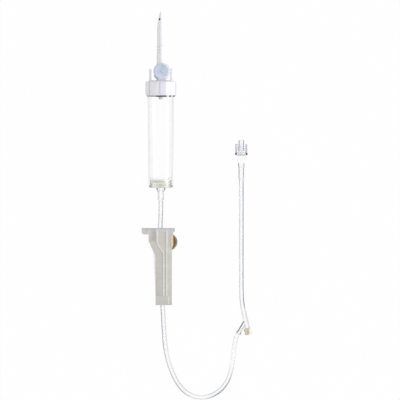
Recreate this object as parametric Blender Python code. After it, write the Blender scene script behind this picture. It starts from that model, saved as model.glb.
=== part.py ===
# An iv infusion set lying flat: vented spike and drip chamber, roller clamp,
# clear tube with a Y injection site, and a male luer lock with a loose collar.
# Units are metres, +Z is up, and +Y runs along the drip chamber towards the spike.

import math

import bmesh
import bpy
from mathutils import Matrix, Vector

MM = 0.001

# Clearances and facets
GAP = 0.3 * MM          # between pieces that touch or run on each other
OVERLAP = 0.2 * MM      # how far fused solids reach into each other
CUT_PAST = 1.0 * MM     # how far a cutter runs out of the piece that it cuts
SIDES = 40              # facets round a large turned piece
SMALL_SIDES = 24        # facets round a small turned piece
BORE_SIDES = 16         # facets round a bore

# Tube
TUBE_DIAMETER = 3.5 * MM
TUBE_BORE = 2.4 * MM
TUBE_STEP = 2.0         # spacing of the tube's points, in diameters
TUBE_LEAD = 5.0 * MM    # straight stretch at a tube's end
CURVE_SAMPLES = 12

# Tube routes between their ends, chosen by hand, in millimetres
SUPPLY_ROUTE_MM = (
    (-0.15, -82.5, 7.4),
    (-0.4, -88.5, 6.1),
    (-0.75, -93.5, 5.8),
    (-1.9, -98.0, 5.8),
    (-2.6, -102.0, 5.8),
    (-2.4, -106.0, 5.8),
    (-1.7, -111.5, 5.8),
    (-0.7, -120.0, 5.8),
    (0.3, -130.0, 5.8),
    (1.1, -138.0, 5.8),
    (1.35, -145.0, 5.8),
    (1.4, -150.5, 5.7),
    (1.7, -156.5, 5.2),
    (2.1, -164.2, 4.0),
    (3.0, -177.3, 2.2),
    (5.3, -190.5, 1.85),
    (9.15, -201.0, 1.85),
    (13.4, -208.7, 1.85),
    (18.6, -214.2, 1.85),
    (24.3, -217.3, 1.85),
    (30.15, -218.3, 1.85),
    (35.8, -217.5, 1.85),
    (41.0, -215.1, 1.85),
    (45.9, -211.2, 1.85),
    (49.6, -205.9, 1.85),
    (52.2, -199.0, 1.85),
    (53.6, -191.5, 1.85),
    (54.5, -184.5, 2.0),
    (55.2, -178.8, 2.4),
)
PATIENT_ROUTE_MM = (
    (60.6, -145.5, 2.4),
    (60.25, -138.0, 2.0),
    (60.15, -122.0, 1.85),
    (60.15, -105.0, 1.85),
    (60.15, -88.0, 2.2),
    (60.15, -73.0, 3.4),
    (60.15, -65.0, 4.3),
)

# Drip chamber, measured along its axis from the cap's rim
CHAMBER_TOP_RADIUS = 9.75 * MM
CHAMBER_FOOT_RADIUS = 9.1 * MM
CHAMBER_WALL = 0.9 * MM
CHAMBER_LENGTH = 66.8 * MM      # below the cap's rim
CHAMBER_ENTRY = 7.4 * MM        # inside the cap

# Spike cap
SKIRT_WALL = 1.1 * MM
SKIRT_HEIGHT = 10.2 * MM
RIB_PROUD = 0.35 * MM
RIB_WIDTH = 1.3 * MM
RIB_COUNT = 8
RIB_SETBACK = 0.5 * MM          # ribs end this far inside the skirt's two edges
ROOF_THICKNESS = 1.6 * MM
PLATEAU_RADIUS = 7.6 * MM
PLATEAU_RISE = 1.1 * MM
PLUG_RING_WALL = 1.3 * MM
PLUG_RING_REACH = 5.0 * MM
NOZZLE_DROP = 2.9 * MM          # below the cap's rim
NOZZLE_RADIUS = 1.6 * MM
NOZZLE_ROOT_RADIUS = 2.3 * MM
ROOT_RADIUS = 3.1 * MM
ROOT_LENGTH = 19.1 * MM
SPIKE_RADIUS = 2.85 * MM
SPIKE_STRAIGHT = 18.4 * MM
SPIKE_POINT = 14.0 * MM
FLUID_BORE = 1.9 * MM
AIR_BORE = 0.9 * MM
AIR_BORE_OFFSET = 1.75 * MM     # beside the axis
EYE_RADIUS = 0.75 * MM
AIR_EYE_RADIUS = 0.55 * MM
FLUID_EYE_DROP = 4.3 * MM       # below the spike's tip
AIR_EYE_DROP = 12.0 * MM
POINT_SHAPE = ((1.0, 0.0), (0.86, 0.38), (0.70, 0.59), (0.46, 0.76), (0.25, 0.92), (0.10, 0.98))

# Finger wings
WING_OFFSET = 7.9 * MM
WING_THICKNESS = 1.7 * MM
WING_WIDTH = 9.0 * MM
WING_HEIGHT = 8.7 * MM
WING_CORNER = 2.4 * MM

# Air vent on the front of the spike's root
VENT_RISE = 6.7 * MM            # vent centre above the plateau
VENT_OFFSET = 0.9 * MM
VENT_BOSS_RADIUS = 5.3 * MM
VENT_FACE_HEIGHT = 5.9 * MM     # in front of the chamber's axis
VENT_BORE_RADIUS = 4.1 * MM
VENT_BORE_DEPTH = 2.0 * MM
MEMBRANE_THICKNESS = 0.4 * MM
VENT_CAP_RADIUS = 6.3 * MM
VENT_CAP_THICKNESS = 1.9 * MM
VENT_CAP_EDGE = 0.6 * MM
VENT_CAP_DISH = 0.4 * MM
VENT_CAP_DISH_RADIUS = 4.3 * MM
VENT_PLUG_DEPTH = 0.7 * MM
VENT_PLUG_WALL = 0.8 * MM
HINGE_BEAD_RADIUS = 0.65 * MM
HINGE_WIDTH = 6.0 * MM

# Chamber foot with its filter
FOOT_THICKNESS = 1.8 * MM
FOOT_CORNER = 1.2 * MM
CORNER_STEPS = 3
SPIGOT_WALL = 1.2 * MM
SPIGOT_HEIGHT = 6.3 * MM
LEDGE_WIDTH = 1.0 * MM
LEDGE_HEIGHT = 2.0 * MM
FLOOR_THICKNESS = 1.0 * MM
FUNNEL_STEP = 1.2 * MM
MESH_THICKNESS = 0.35 * MM
RING_HEIGHT = 1.2 * MM
RING_WIDTH = 1.1 * MM
NECK_RADIUS = 3.4 * MM
NECK_LENGTH = 3.4 * MM
SLEEVE_RADIUS = 2.4 * MM
SLEEVE_LENGTH = 6.0 * MM

# Roller clamp: x to the wheel's side, lengths down from its top face
CLAMP_TOP_Y = -91.35 * MM
CLAMP_LENGTH = 57.45 * MM
CLAMP_THICKNESS = 11.6 * MM
CHANNEL_WIDTH = 7.0 * MM
PROUD = 0.35 * MM               # flange, end block and ridges stand above the side walls
FLANGE_THICKNESS = 2.85 * MM
FLANGE_FRONT = 10.5 * MM
TAB_END = -14.3 * MM
TAB_DROP = 4.7 * MM
TAB_CORNER = 1.0 * MM
TAB_NOTCH_WIDTH = 4.4 * MM
TAB_NOTCH_DEPTH = 3.4 * MM
BACK_TOP = -9.15 * MM
BACK_LOW = -3.9 * MM
FRONT_TOP = 9.3 * MM
FRONT_LOW = 8.25 * MM
HEAD_LENGTH = 9.75 * MM         # wide head, above the slope
SLOPE_END = 20.25 * MM
FRONT_STEP = 13.0 * MM
END_BLOCK = 6.75 * MM
BASE_BACK_PROUD = 1.8 * MM      # the ramp's back stands out behind the side walls
RAMP_TOP_WALL = 2.4 * MM
RAMP_MIDDLE = -3.9 * MM         # ramp surface where the slope ends
PINCH_GAP = 1.0 * MM            # left for the tube when the clamp is shut
TUBE_HOLE_GAP = 0.45 * MM
TOP_HOLE_X = -0.75 * MM
END_HOLE_X = 1.35 * MM
RIDGE_WIDTH = 0.9 * MM
RIDGE_BACK_TOP = -2.85 * MM
RIDGE_BACK_LOW = 2.1 * MM
RIDGE_FRONT = 4.4 * MM

# Roller
WHEEL_RADIUS = 6.4 * MM
WHEEL_X = 6.1 * MM
WHEEL_START = 10.35 * MM        # open position, below the clamp's top face
WHEEL_TEETH = 20
TOOTH_DEPTH = 0.3 * MM
TRUNNION_RADIUS = 1.3 * MM
GROOVE_DEPTH = 1.2 * MM
GROOVE_STEPS = 6
WHEEL_RIM = 1.5 * MM
WHEEL_HUB = 2.6 * MM
WHEEL_RECESS = 1.3 * MM

# Y injection site
Y_JUNCTION_X = 63.5 * MM
Y_JUNCTION_Y = -160.8 * MM
Y_TILT = 12.2               # main barrel, degrees from the photograph's vertical
Y_BRANCH_TILT = 30.2        # branch, degrees to the other side
Y_BARREL_RADIUS = 1.95 * MM
Y_BARREL_UP = 8.0 * MM
Y_BRANCH_RADIUS = 1.5 * MM
Y_BRANCH_END_RADIUS = 1.8 * MM
Y_BRANCH_LENGTH = 11.3 * MM
Y_BRANCH_FLARE = 2.2 * MM
Y_BRANCH_BORE = 1.8 * MM
SEAT_RADIUS = 1.9 * MM
SEPTUM_RADIUS = 2.85 * MM
SEPTUM_LENGTH = 4.7 * MM
SEPTUM_START = 6.0 * MM
SEPTUM_HEAD = 2.2 * MM
SEPTUM_PLUG = 1.8 * MM
SEPTUM_DIMPLE_RADIUS = 1.3 * MM
SEPTUM_DIMPLE = 0.3 * MM

# Male luer lock, measured back from the cone's tip
LUER_X = 60.15 * MM
LUER_TIP_Y = -25.6 * MM
CONE_TIP_RADIUS = 2.0 * MM
CONE_LENGTH = 8.2 * MM
CONE_TAPER = 0.03           # radius gained per length
LUER_BORE = 2.2 * MM
BEAD_RADIUS = 3.0 * MM
BEAD_LENGTH = 1.0 * MM
LUER_NECK_RADIUS = 2.3 * MM
HUB_RADIUS = 3.1 * MM
HUB_LENGTH = 5.6 * MM
HUB_SLOPE = 1.5 * MM
TAIL_RADIUS = 2.05 * MM
TAIL_STEP_RADIUS = 2.4 * MM
TAIL_STEP_LENGTH = 2.8 * MM
TAIL_LENGTH = 11.5 * MM
COLLAR_RADIUS = 4.4 * MM
COLLAR_RIM_RADIUS = 4.75 * MM
COLLAR_RIM_LENGTH = 1.5 * MM
COLLAR_SETBACK = 2.85 * MM  # mouth behind the cone's tip
COLLAR_BORE_RADIUS = 3.7 * MM
COLLAR_LIP = 1.9 * MM
COLLAR_GRIP = 0.2 * MM

# Worked out from the sizes above
CAP_INNER_RADIUS = CHAMBER_TOP_RADIUS + GAP
CAP_WALL_RADIUS = CAP_INNER_RADIUS + SKIRT_WALL
CAP_RIB_RADIUS = CAP_WALL_RADIUS + RIB_PROUD
PLATEAU = SKIRT_HEIGHT + PLATEAU_RISE
ROOT_TOP = PLATEAU + ROOT_LENGTH
POINT_START = ROOT_TOP + SPIKE_STRAIGHT
SPIKE_TIP = POINT_START + SPIKE_POINT
FOOT_TOP = -CHAMBER_LENGTH - GAP
FOOT_BOTTOM = FOOT_TOP - FOOT_THICKNESS
NECK_END = FOOT_BOTTOM - NECK_LENGTH
SLEEVE_END = NECK_END - SLEEVE_LENGTH
SPIGOT_RADIUS = CHAMBER_FOOT_RADIUS - CHAMBER_WALL - GAP
SPIGOT_BORE = SPIGOT_RADIUS - SPIGOT_WALL
LEDGE = FOOT_TOP + LEDGE_HEIGHT
VENT_Y = PLATEAU + VENT_RISE
HINGE_RISE = GAP + HINGE_BEAD_RADIUS
HINGE_FORWARD = VENT_FACE_HEIGHT + GAP + VENT_CAP_THICKNESS - HINGE_BEAD_RADIUS
REST_REACH = FOOT_BOTTOM + FOOT_CORNER
REST_TILT = math.atan2(CAP_RIB_RADIUS - CHAMBER_FOOT_RADIUS, RIB_SETBACK - REST_REACH)
CHAMBER_LIFT = CHAMBER_FOOT_RADIUS * math.cos(REST_TILT) - REST_REACH * math.sin(REST_TILT)
CHAMBER_Y = -(SPIKE_TIP + SLEEVE_END) / 2 * math.cos(REST_TILT)
CLAMP_MIDDLE = CLAMP_THICKNESS / 2
CHANNEL_LOW = (CLAMP_THICKNESS - CHANNEL_WIDTH) / 2
CHANNEL_HIGH = CLAMP_THICKNESS - CHANNEL_LOW
END_BLOCK_TOP = CLAMP_LENGTH - END_BLOCK
WHEEL_STOP = END_BLOCK_TOP - WHEEL_RADIUS - GAP
WHEEL_BACK = WHEEL_X - WHEEL_RADIUS
COLLAR_HEIGHT = COLLAR_RIM_RADIUS
LUER_NECK_START = CONE_LENGTH + BEAD_LENGTH
COLLAR_END = LUER_NECK_START + GAP + COLLAR_LIP
HUB_START = COLLAR_END + GAP
HUB_END = HUB_START + HUB_LENGTH
TAIL_END = HUB_END + TAIL_LENGTH
SEPTUM_END = SEPTUM_START + SEPTUM_LENGTH
ALONG_Y = Matrix.Rotation(-math.pi / 2, 4, "X")     # turns +Z into +Y


def clear_scene():
    """Remove every object, so that the script starts from an empty scene."""
    for item in list(bpy.data.objects):
        bpy.data.objects.remove(item, do_unlink=True)


def material(name, color, roughness, alpha=1.0):
    """A plain plastic of one colour."""
    result = bpy.data.materials.new(name)
    result.use_nodes = True
    shader = result.node_tree.nodes["Principled BSDF"]
    shader.inputs["Base Color"].default_value = (*color, 1.0)
    shader.inputs["Roughness"].default_value = roughness
    shader.inputs["Metallic"].default_value = 0.0
    shader.inputs["Alpha"].default_value = alpha
    return result


def empty(name, location, tilt=(0.0, 0.0, 0.0)):
    """A frame that pieces are parented to."""
    frame = bpy.data.objects.new(name, None)
    bpy.context.collection.objects.link(frame)
    frame.location = location
    frame.rotation_euler = tilt
    return frame


def add(name, mesh, finish, parent=None, location=(0.0, 0.0, 0.0)):
    """Make a bmesh into a named object with its own material."""
    bmesh.ops.recalc_face_normals(mesh, faces=mesh.faces)
    data = bpy.data.meshes.new(name)
    mesh.to_mesh(data)
    mesh.free()
    data.shade_smooth()
    data.set_sharp_from_angle(angle=math.radians(35))
    item = bpy.data.objects.new(name, data)
    bpy.context.collection.objects.link(item)
    item.location = location
    item.parent = parent
    if finish:
        item.data.materials.append(finish)
    return item


def combine(target, name, mesh, operation):
    """Fuse a helper solid to a piece, or cut it away, with an exact Boolean."""
    helper = add(name, mesh, None, target.parent, target.location)
    helper.hide_render = True
    helper.display_type = "WIRE"
    step = target.modifiers.new(name, "BOOLEAN")
    step.operation = operation
    step.solver = "EXACT"
    step.object = helper
    return helper


def fuse(target, name, mesh):
    """Add a solid to a piece."""
    return combine(target, name, mesh, "UNION")


def cut(target, name, mesh):
    """Cut a solid out of a piece."""
    return combine(target, name, mesh, "DIFFERENCE")


def join_rings(mesh, low, high):
    """Bridge two rings of points; a ring of one point closes to a fan."""
    count = max(len(low), len(high))
    if count == 1:
        return
    for step in range(count):
        after = (step + 1) % count
        if len(low) == 1:
            mesh.faces.new((low[0], high[after], high[step]))
        elif len(high) == 1:
            mesh.faces.new((low[step], low[after], high[0]))
        else:
            mesh.faces.new((low[step], low[after], high[after], high[step]))


def turned(outline, sides=SIDES, wave=None):
    """Turn a closed outline of (radius, height) points about the Z axis.

    wave(step) lowers the radius of the points whose entry has a third value.
    """
    mesh = bmesh.new()
    rings = []
    for point in outline:
        radius, height = point[0], point[1]
        if radius == 0:
            rings.append([mesh.verts.new((0, 0, height))])
            continue
        ring = []
        for step in range(sides):
            angle = math.tau * step / sides
            reach = radius - (wave(step) if wave and len(point) > 2 else 0)
            ring.append(mesh.verts.new((reach * math.cos(angle), reach * math.sin(angle), height)))
        rings.append(ring)
    for low, high in zip(rings, rings[1:] + rings[:1]):
        join_rings(mesh, low, high)
    return mesh


def moved(mesh, matrix):
    """Apply a matrix to a bmesh and return it."""
    mesh.transform(matrix)
    return mesh


def rod(radius, low, high, sides=BORE_SIDES):
    """A plain cylinder along Z."""
    return turned([(0, low), (radius, low), (radius, high), (0, high)], sides)


def prism(outline, low, high):
    """Extrude a closed outline of (x, y) points from one height to another."""
    mesh = bmesh.new()
    bottom = [mesh.verts.new((x, y, low)) for x, y in outline]
    top = [mesh.verts.new((x, y, high)) for x, y in outline]
    mesh.faces.new(bottom)
    mesh.faces.new(top)
    join_rings(mesh, bottom, top)
    return mesh


def block(low, high):
    """A box between two corners."""
    outline = [(low[0], low[1]), (high[0], low[1]), (high[0], high[1]), (low[0], high[1])]
    return prism(outline, low[2], high[2])


def merged(meshes):
    """Put several bmeshes that don't meet into one."""
    result = bmesh.new()
    for mesh in meshes:
        data = bpy.data.meshes.new("part")
        mesh.to_mesh(data)
        mesh.free()
        result.from_mesh(data)
        bpy.data.meshes.remove(data)
    return result


def round_topped(width, height, corner):
    """An outline that stands on the X axis and has two round upper corners."""
    half = width / 2
    arc = []
    for step in range(CORNER_STEPS + 1):
        angle = math.pi / 2 * step / CORNER_STEPS
        arc.append((half - corner + corner * math.cos(angle), height - corner + corner * math.sin(angle)))
    return [(-half, 0), (half, 0)] + arc + [(-x, y) for x, y in reversed(arc)]


def spike_outline():
    """The turned shape of the spike cap: out at the rim, up to the tip, then back inside."""
    roof_inside = PLATEAU - ROOF_THICKNESS
    plug_outer = CHAMBER_TOP_RADIUS - CHAMBER_WALL - GAP
    plug_inner = plug_outer - PLUG_RING_WALL
    ring_end = roof_inside - PLUG_RING_REACH
    outside = [
        (CAP_INNER_RADIUS, 0),
        (CAP_WALL_RADIUS, 0),
        (CAP_WALL_RADIUS, SKIRT_HEIGHT),
        (PLATEAU_RADIUS, PLATEAU),
        (ROOT_RADIUS, PLATEAU),
        (ROOT_RADIUS, ROOT_TOP),
    ]
    taper = [(SPIKE_RADIUS * wide, POINT_START + SPIKE_POINT * along) for wide, along in POINT_SHAPE]
    inside = [
        (0, -NOZZLE_DROP),
        (NOZZLE_RADIUS, -NOZZLE_DROP),
        (NOZZLE_ROOT_RADIUS, roof_inside),
        (plug_inner, roof_inside),
        (plug_inner, ring_end),
        (plug_outer, ring_end),
        (plug_outer, roof_inside),
        (CAP_INNER_RADIUS, roof_inside),
    ]
    return outside + taper + [(0, SPIKE_TIP)] + inside


def cap_ribs():
    """The skirt's upright grip ribs."""
    ribs = []
    for number in range(RIB_COUNT):
        low = (CAP_WALL_RADIUS - SKIRT_WALL / 2, -RIB_WIDTH / 2, RIB_SETBACK)
        high = (CAP_RIB_RADIUS, RIB_WIDTH / 2, SKIRT_HEIGHT - RIB_SETBACK)
        turn = Matrix.Rotation(math.tau * number / RIB_COUNT, 4, "Z")
        ribs.append(moved(block(low, high), ALONG_Y @ turn))
    return merged(ribs)


def finger_wings():
    """Two upright wings on the cap's shoulder, left and right of the spike."""
    wings = []
    outline = round_topped(WING_WIDTH, WING_HEIGHT + PLATEAU_RISE, WING_CORNER)
    inner = WING_OFFSET - WING_THICKNESS / 2
    for side in (-1, 1):
        upright = Matrix(((0, 0, side, 0), (0, 1, 0, SKIRT_HEIGHT), (1, 0, 0, 0), (0, 0, 0, 1)))
        wings.append(moved(prism(outline, inner, inner + WING_THICKNESS), upright))
    return merged(wings)


def at_vent(mesh):
    """Move a solid from the origin to the vent's axis."""
    return moved(mesh, Matrix.Translation((VENT_OFFSET, VENT_Y, 0)))


def make_spike_cap(frame, finish):
    """Spike, vent boss, wings, skirt, plug ring and drop nozzle: one moulding."""
    fluid_end = SPIKE_TIP - FLUID_EYE_DROP
    air_end = SPIKE_TIP - AIR_EYE_DROP
    pocket_floor = VENT_FACE_HEIGHT - VENT_BORE_DEPTH
    to_side = Matrix.Translation((AIR_BORE_OFFSET, 0, 0))
    fluid_eye_place = Matrix.Translation((0, fluid_end - FLUID_BORE / 2, 0))
    air_eye_place = Matrix.Translation((0, air_end - AIR_BORE, 0)) @ Matrix.Rotation(math.pi / 2, 4, "Y")
    air_port_place = Matrix.Translation((AIR_BORE_OFFSET, VENT_Y, 0))
    fluid = rod(FLUID_BORE / 2, -NOZZLE_DROP - CUT_PAST, fluid_end)
    air = rod(AIR_BORE / 2, VENT_Y - AIR_BORE, air_end)
    boss = [
        (0, 0),
        (VENT_BOSS_RADIUS, 0),
        (VENT_BOSS_RADIUS, VENT_FACE_HEIGHT),
        (VENT_BORE_RADIUS, VENT_FACE_HEIGHT),
        (VENT_BORE_RADIUS, pocket_floor),
        (0, pocket_floor),
    ]

    cap = add("spike_cap", moved(turned(spike_outline()), ALONG_Y), finish, frame)
    fuse(cap, "cap_ribs", cap_ribs())
    fuse(cap, "cap_wings", finger_wings())
    fuse(cap, "vent_boss", at_vent(turned(boss, SMALL_SIDES)))
    cut(cap, "fluid_bore", moved(fluid, ALONG_Y))
    cut(cap, "fluid_eye", moved(rod(EYE_RADIUS, 0, SPIKE_RADIUS), fluid_eye_place))
    cut(cap, "air_bore", moved(air, to_side @ ALONG_Y))
    cut(cap, "air_eye", moved(rod(AIR_EYE_RADIUS, AIR_BORE_OFFSET, SPIKE_RADIUS + CUT_PAST), air_eye_place))
    cut(cap, "air_port", moved(rod(AIR_EYE_RADIUS, 0, pocket_floor + CUT_PAST), air_port_place))
    return cap


def make_vent_membrane(frame, finish):
    """The air filter disc at the bottom of the vent's pocket."""
    floor = VENT_FACE_HEIGHT - VENT_BORE_DEPTH + GAP
    disc = rod(VENT_BORE_RADIUS - GAP, floor, floor + MEMBRANE_THICKNESS, SMALL_SIDES)
    return add("vent_membrane", at_vent(disc), finish, frame)


def make_vent_cap(frame, finish):
    """The hinged vent cap: a dished disc with a plug ring, its origin on the hinge's axis."""
    back = -VENT_CAP_THICKNESS + HINGE_BEAD_RADIUS
    face = HINGE_BEAD_RADIUS
    plug_end = back - GAP - VENT_PLUG_DEPTH
    plug = VENT_BORE_RADIUS - GAP
    outline = [
        (0, back),
        (plug - VENT_PLUG_WALL, back),
        (plug - VENT_PLUG_WALL, plug_end),
        (plug, plug_end),
        (plug, back),
        (VENT_CAP_RADIUS, back),
        (VENT_CAP_RADIUS, face - VENT_CAP_EDGE),
        (VENT_CAP_RADIUS - VENT_CAP_EDGE, face),
        (VENT_CAP_DISH_RADIUS, face),
        (VENT_CAP_DISH_RADIUS - VENT_CAP_DISH, face - VENT_CAP_DISH),
        (0, face - VENT_CAP_DISH),
    ]
    centre = VENT_RISE - HINGE_RISE
    disc = moved(turned(outline), Matrix.Translation((0, centre, 0)))
    reach = VENT_CAP_RADIUS + OVERLAP
    below = block((-reach, -reach, plug_end - OVERLAP), (reach, 0, face + OVERLAP))
    bead = rod(HINGE_BEAD_RADIUS, -HINGE_WIDTH / 2, HINGE_WIDTH / 2)
    hinge = (VENT_OFFSET, PLATEAU + HINGE_RISE, HINGE_FORWARD)
    cap = add("vent_cap", disc, finish, frame, hinge)
    cut(cap, "vent_cap_trim", below)
    fuse(cap, "vent_cap_bead", moved(bead, Matrix.Rotation(math.pi / 2, 4, "Y")))
    return cap


def make_drip_chamber(frame, finish):
    """The clear chamber: a slightly tapered tube, open at both ends."""
    outline = [
        (CHAMBER_FOOT_RADIUS, -CHAMBER_LENGTH),
        (CHAMBER_TOP_RADIUS, 0),
        (CHAMBER_TOP_RADIUS, CHAMBER_ENTRY),
        (CHAMBER_TOP_RADIUS - CHAMBER_WALL, CHAMBER_ENTRY),
        (CHAMBER_TOP_RADIUS - CHAMBER_WALL, 0),
        (CHAMBER_FOOT_RADIUS - CHAMBER_WALL, -CHAMBER_LENGTH),
    ]
    return add("drip_chamber", moved(turned(outline), ALONG_Y), finish, frame)


def make_chamber_base(frame, finish):
    """The foot: a spigot inside the chamber, a round-edged flange, a neck and an outlet sleeve."""
    corner = []
    for step in range(CORNER_STEPS + 1):
        angle = math.pi / 2 * step / CORNER_STEPS
        radius = CHAMBER_FOOT_RADIUS - FOOT_CORNER * (1 - math.cos(angle))
        corner.append((radius, REST_REACH - FOOT_CORNER * math.sin(angle)))
    outline = [
        (SPIGOT_RADIUS, FOOT_TOP + SPIGOT_HEIGHT),
        (SPIGOT_RADIUS, FOOT_TOP),
        (CHAMBER_FOOT_RADIUS, FOOT_TOP),
        *corner,
        (NECK_RADIUS, FOOT_BOTTOM),
        (NECK_RADIUS, (FOOT_BOTTOM + NECK_END) / 2),
        (SLEEVE_RADIUS, NECK_END),
        (SLEEVE_RADIUS, SLEEVE_END),
        (TUBE_BORE / 2, SLEEVE_END),
        (TUBE_BORE / 2, FOOT_BOTTOM + FLOOR_THICKNESS),
        (SPIGOT_BORE - LEDGE_WIDTH, LEDGE - FUNNEL_STEP),
        (SPIGOT_BORE - LEDGE_WIDTH, LEDGE),
        (SPIGOT_BORE, LEDGE),
        (SPIGOT_BORE, FOOT_TOP + SPIGOT_HEIGHT),
    ]
    return add("chamber_base", moved(turned(outline), ALONG_Y), finish, frame)


def make_filter(frame, mesh_finish, ring_finish):
    """The fluid filter: a fine mesh disc on the foot's ledge, held down by a ring."""
    radius = SPIGOT_BORE - GAP
    mesh_top = LEDGE + GAP + MESH_THICKNESS
    disc = rod(radius, LEDGE + GAP, mesh_top, SMALL_SIDES)
    add("filter_mesh", moved(disc, ALONG_Y), mesh_finish, frame)
    low = mesh_top + GAP
    high = low + RING_HEIGHT
    inner = radius - RING_WIDTH
    ring = [(inner, low), (radius, low), (radius, high), (inner, high)]
    add("filter_ring", moved(turned(ring, SMALL_SIDES), ALONG_Y), ring_finish, frame)


def down(outline):
    """Turn (x, distance below the clamp's top face) points into (x, y) points."""
    return [(x, -below) for x, below in outline]


def mirrored_walls(outline, low, high):
    """The same plate at the clamp's lower and upper side."""
    return merged([
        prism(down(outline), low, high),
        prism(down(outline), CLAMP_THICKNESS - high, CLAMP_THICKNESS - low),
    ])


def side_wall_outline():
    """A side wall: a wide head, a sloped back and a narrow body."""
    top = FLANGE_THICKNESS - OVERLAP
    bottom = END_BLOCK_TOP + OVERLAP
    return [
        (BACK_TOP, top),
        (BACK_TOP, HEAD_LENGTH),
        (BACK_LOW, SLOPE_END),
        (BACK_LOW, bottom),
        (FRONT_LOW, bottom),
        (FRONT_LOW, FRONT_STEP + FRONT_TOP - FRONT_LOW),
        (FRONT_TOP, FRONT_STEP),
        (FRONT_TOP, top),
    ]


def ramp_outline():
    """The base that the roller squeezes the tube against: it closes in towards the end block."""
    top = FLANGE_THICKNESS - OVERLAP
    bottom = END_BLOCK_TOP + OVERLAP
    shut = WHEEL_BACK - PINCH_GAP
    return [
        (BACK_TOP + PROUD, top),
        (BACK_TOP + PROUD, HEAD_LENGTH),
        (BACK_LOW - BASE_BACK_PROUD, SLOPE_END - BASE_BACK_PROUD),
        (BACK_LOW, END_BLOCK_TOP),
        (BACK_LOW, bottom),
        (shut, bottom),
        (shut, WHEEL_STOP),
        (RAMP_MIDDLE, SLOPE_END),
        (BACK_TOP + RAMP_TOP_WALL, HEAD_LENGTH),
        (BACK_TOP + RAMP_TOP_WALL, top),
    ]


def head_outline():
    """The top flange with its hook tab."""
    back = BACK_TOP + OVERLAP
    return [
        (TAB_END, 0),
        (FLANGE_FRONT, 0),
        (FLANGE_FRONT, FLANGE_THICKNESS),
        (back, FLANGE_THICKNESS),
        (back, TAB_DROP),
        (TAB_END + TAB_CORNER, TAB_DROP),
        (TAB_END, TAB_DROP - TAB_CORNER),
    ]


def ridge_outline(top_x, low_x, steps):
    """A raised line down a side wall, which sweeps from one place to another beside the slope."""
    top = FLANGE_THICKNESS - OVERLAP
    bottom = END_BLOCK_TOP + OVERLAP
    line = [(top_x, top)]
    for step in range(steps + 1):
        part = step / steps
        blend = part * part * (3 - 2 * part)
        line.append((top_x + (low_x - top_x) * blend, HEAD_LENGTH + (SLOPE_END - HEAD_LENGTH) * part))
    line.append((low_x, bottom))
    half = RIDGE_WIDTH / 2
    return [(x - half, below) for x, below in line] + [(x + half, below) for x, below in reversed(line)]


def groove_outline():
    """The track of a stub axle: a straight slot with round ends."""
    radius = TRUNNION_RADIUS + GAP
    outline = []
    for middle, first in ((WHEEL_START, math.pi), (WHEEL_STOP, 0)):
        for step in range(GROOVE_STEPS + 1):
            angle = first + math.pi * step / GROOVE_STEPS
            outline.append((WHEEL_X + radius * math.cos(angle), middle + radius * math.sin(angle)))
    return outline


def tube_hole(x, top, bottom):
    """A round hole for the tube through one of the clamp's cross walls."""
    radius = TUBE_DIAMETER / 2 + TUBE_HOLE_GAP
    bore = rod(radius, -bottom - CUT_PAST, -top + CUT_PAST, SMALL_SIDES)
    return moved(bore, Matrix.Translation((x, 0, CLAMP_MIDDLE)) @ ALONG_Y)


def make_clamp_housing(frame, finish):
    """The roller clamp's body: a channel that is open towards the roller."""
    ridges = [
        ridge_outline(RIDGE_BACK_TOP, RIDGE_BACK_LOW, GROOVE_STEPS),
        ridge_outline(RIDGE_FRONT, RIDGE_FRONT, 1),
    ]
    end_block = block((BACK_LOW, -CLAMP_LENGTH, 0), (FRONT_LOW, -END_BLOCK_TOP, CLAMP_THICKNESS))
    notch_low = (TAB_END - OVERLAP, -TAB_DROP - OVERLAP, CLAMP_MIDDLE - TAB_NOTCH_WIDTH / 2)
    notch_high = (TAB_END + TAB_NOTCH_DEPTH, OVERLAP, CLAMP_MIDDLE + TAB_NOTCH_WIDTH / 2)
    ramp = prism(down(ramp_outline()), CHANNEL_LOW - OVERLAP, CHANNEL_HIGH + OVERLAP)

    housing = add("clamp_housing", mirrored_walls(side_wall_outline(), PROUD, CHANNEL_LOW), finish, frame)
    fuse(housing, "clamp_ramp", ramp)
    fuse(housing, "clamp_head", prism(down(head_outline()), 0, CLAMP_THICKNESS))
    fuse(housing, "clamp_end", end_block)
    for number, outline in enumerate(ridges):
        fuse(housing, f"clamp_ridge_{number}", mirrored_walls(outline, 0, PROUD + OVERLAP))
    groove = mirrored_walls(groove_outline(), CHANNEL_LOW - GROOVE_DEPTH, CHANNEL_LOW + OVERLAP)
    cut(housing, "clamp_grooves", groove)
    cut(housing, "clamp_top_hole", tube_hole(TOP_HOLE_X, 0, FLANGE_THICKNESS))
    cut(housing, "clamp_end_hole", tube_hole(END_HOLE_X, END_BLOCK_TOP, CLAMP_LENGTH))
    cut(housing, "clamp_notch", block(notch_low, notch_high))
    return housing


def make_clamp_wheel(frame, finish):
    """The ridged roller with its two stub axles, its origin at its centre."""
    half = CHANNEL_WIDTH / 2 - GAP
    axle = CHANNEL_WIDTH / 2 + GROOVE_DEPTH - GAP
    rim = WHEEL_RADIUS - WHEEL_RIM
    floor = half - WHEEL_RECESS
    upper = [
        (WHEEL_RADIUS, half - TOOTH_DEPTH, "tooth"),
        (WHEEL_RADIUS - TOOTH_DEPTH, half),
        (rim, half),
        (rim, floor),
        (WHEEL_HUB, floor),
        (WHEEL_HUB, half),
        (TRUNNION_RADIUS, half),
        (TRUNNION_RADIUS, axle),
        (0, axle),
    ]
    lower = [(point[0], -point[1], *point[2:]) for point in reversed(upper)]
    wheel = turned(lower + upper, WHEEL_TEETH * 2, lambda step: TOOTH_DEPTH * (step % 2))
    return add("clamp_wheel", wheel, finish, frame, (WHEEL_X, -WHEEL_START, CLAMP_MIDDLE))


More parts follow.
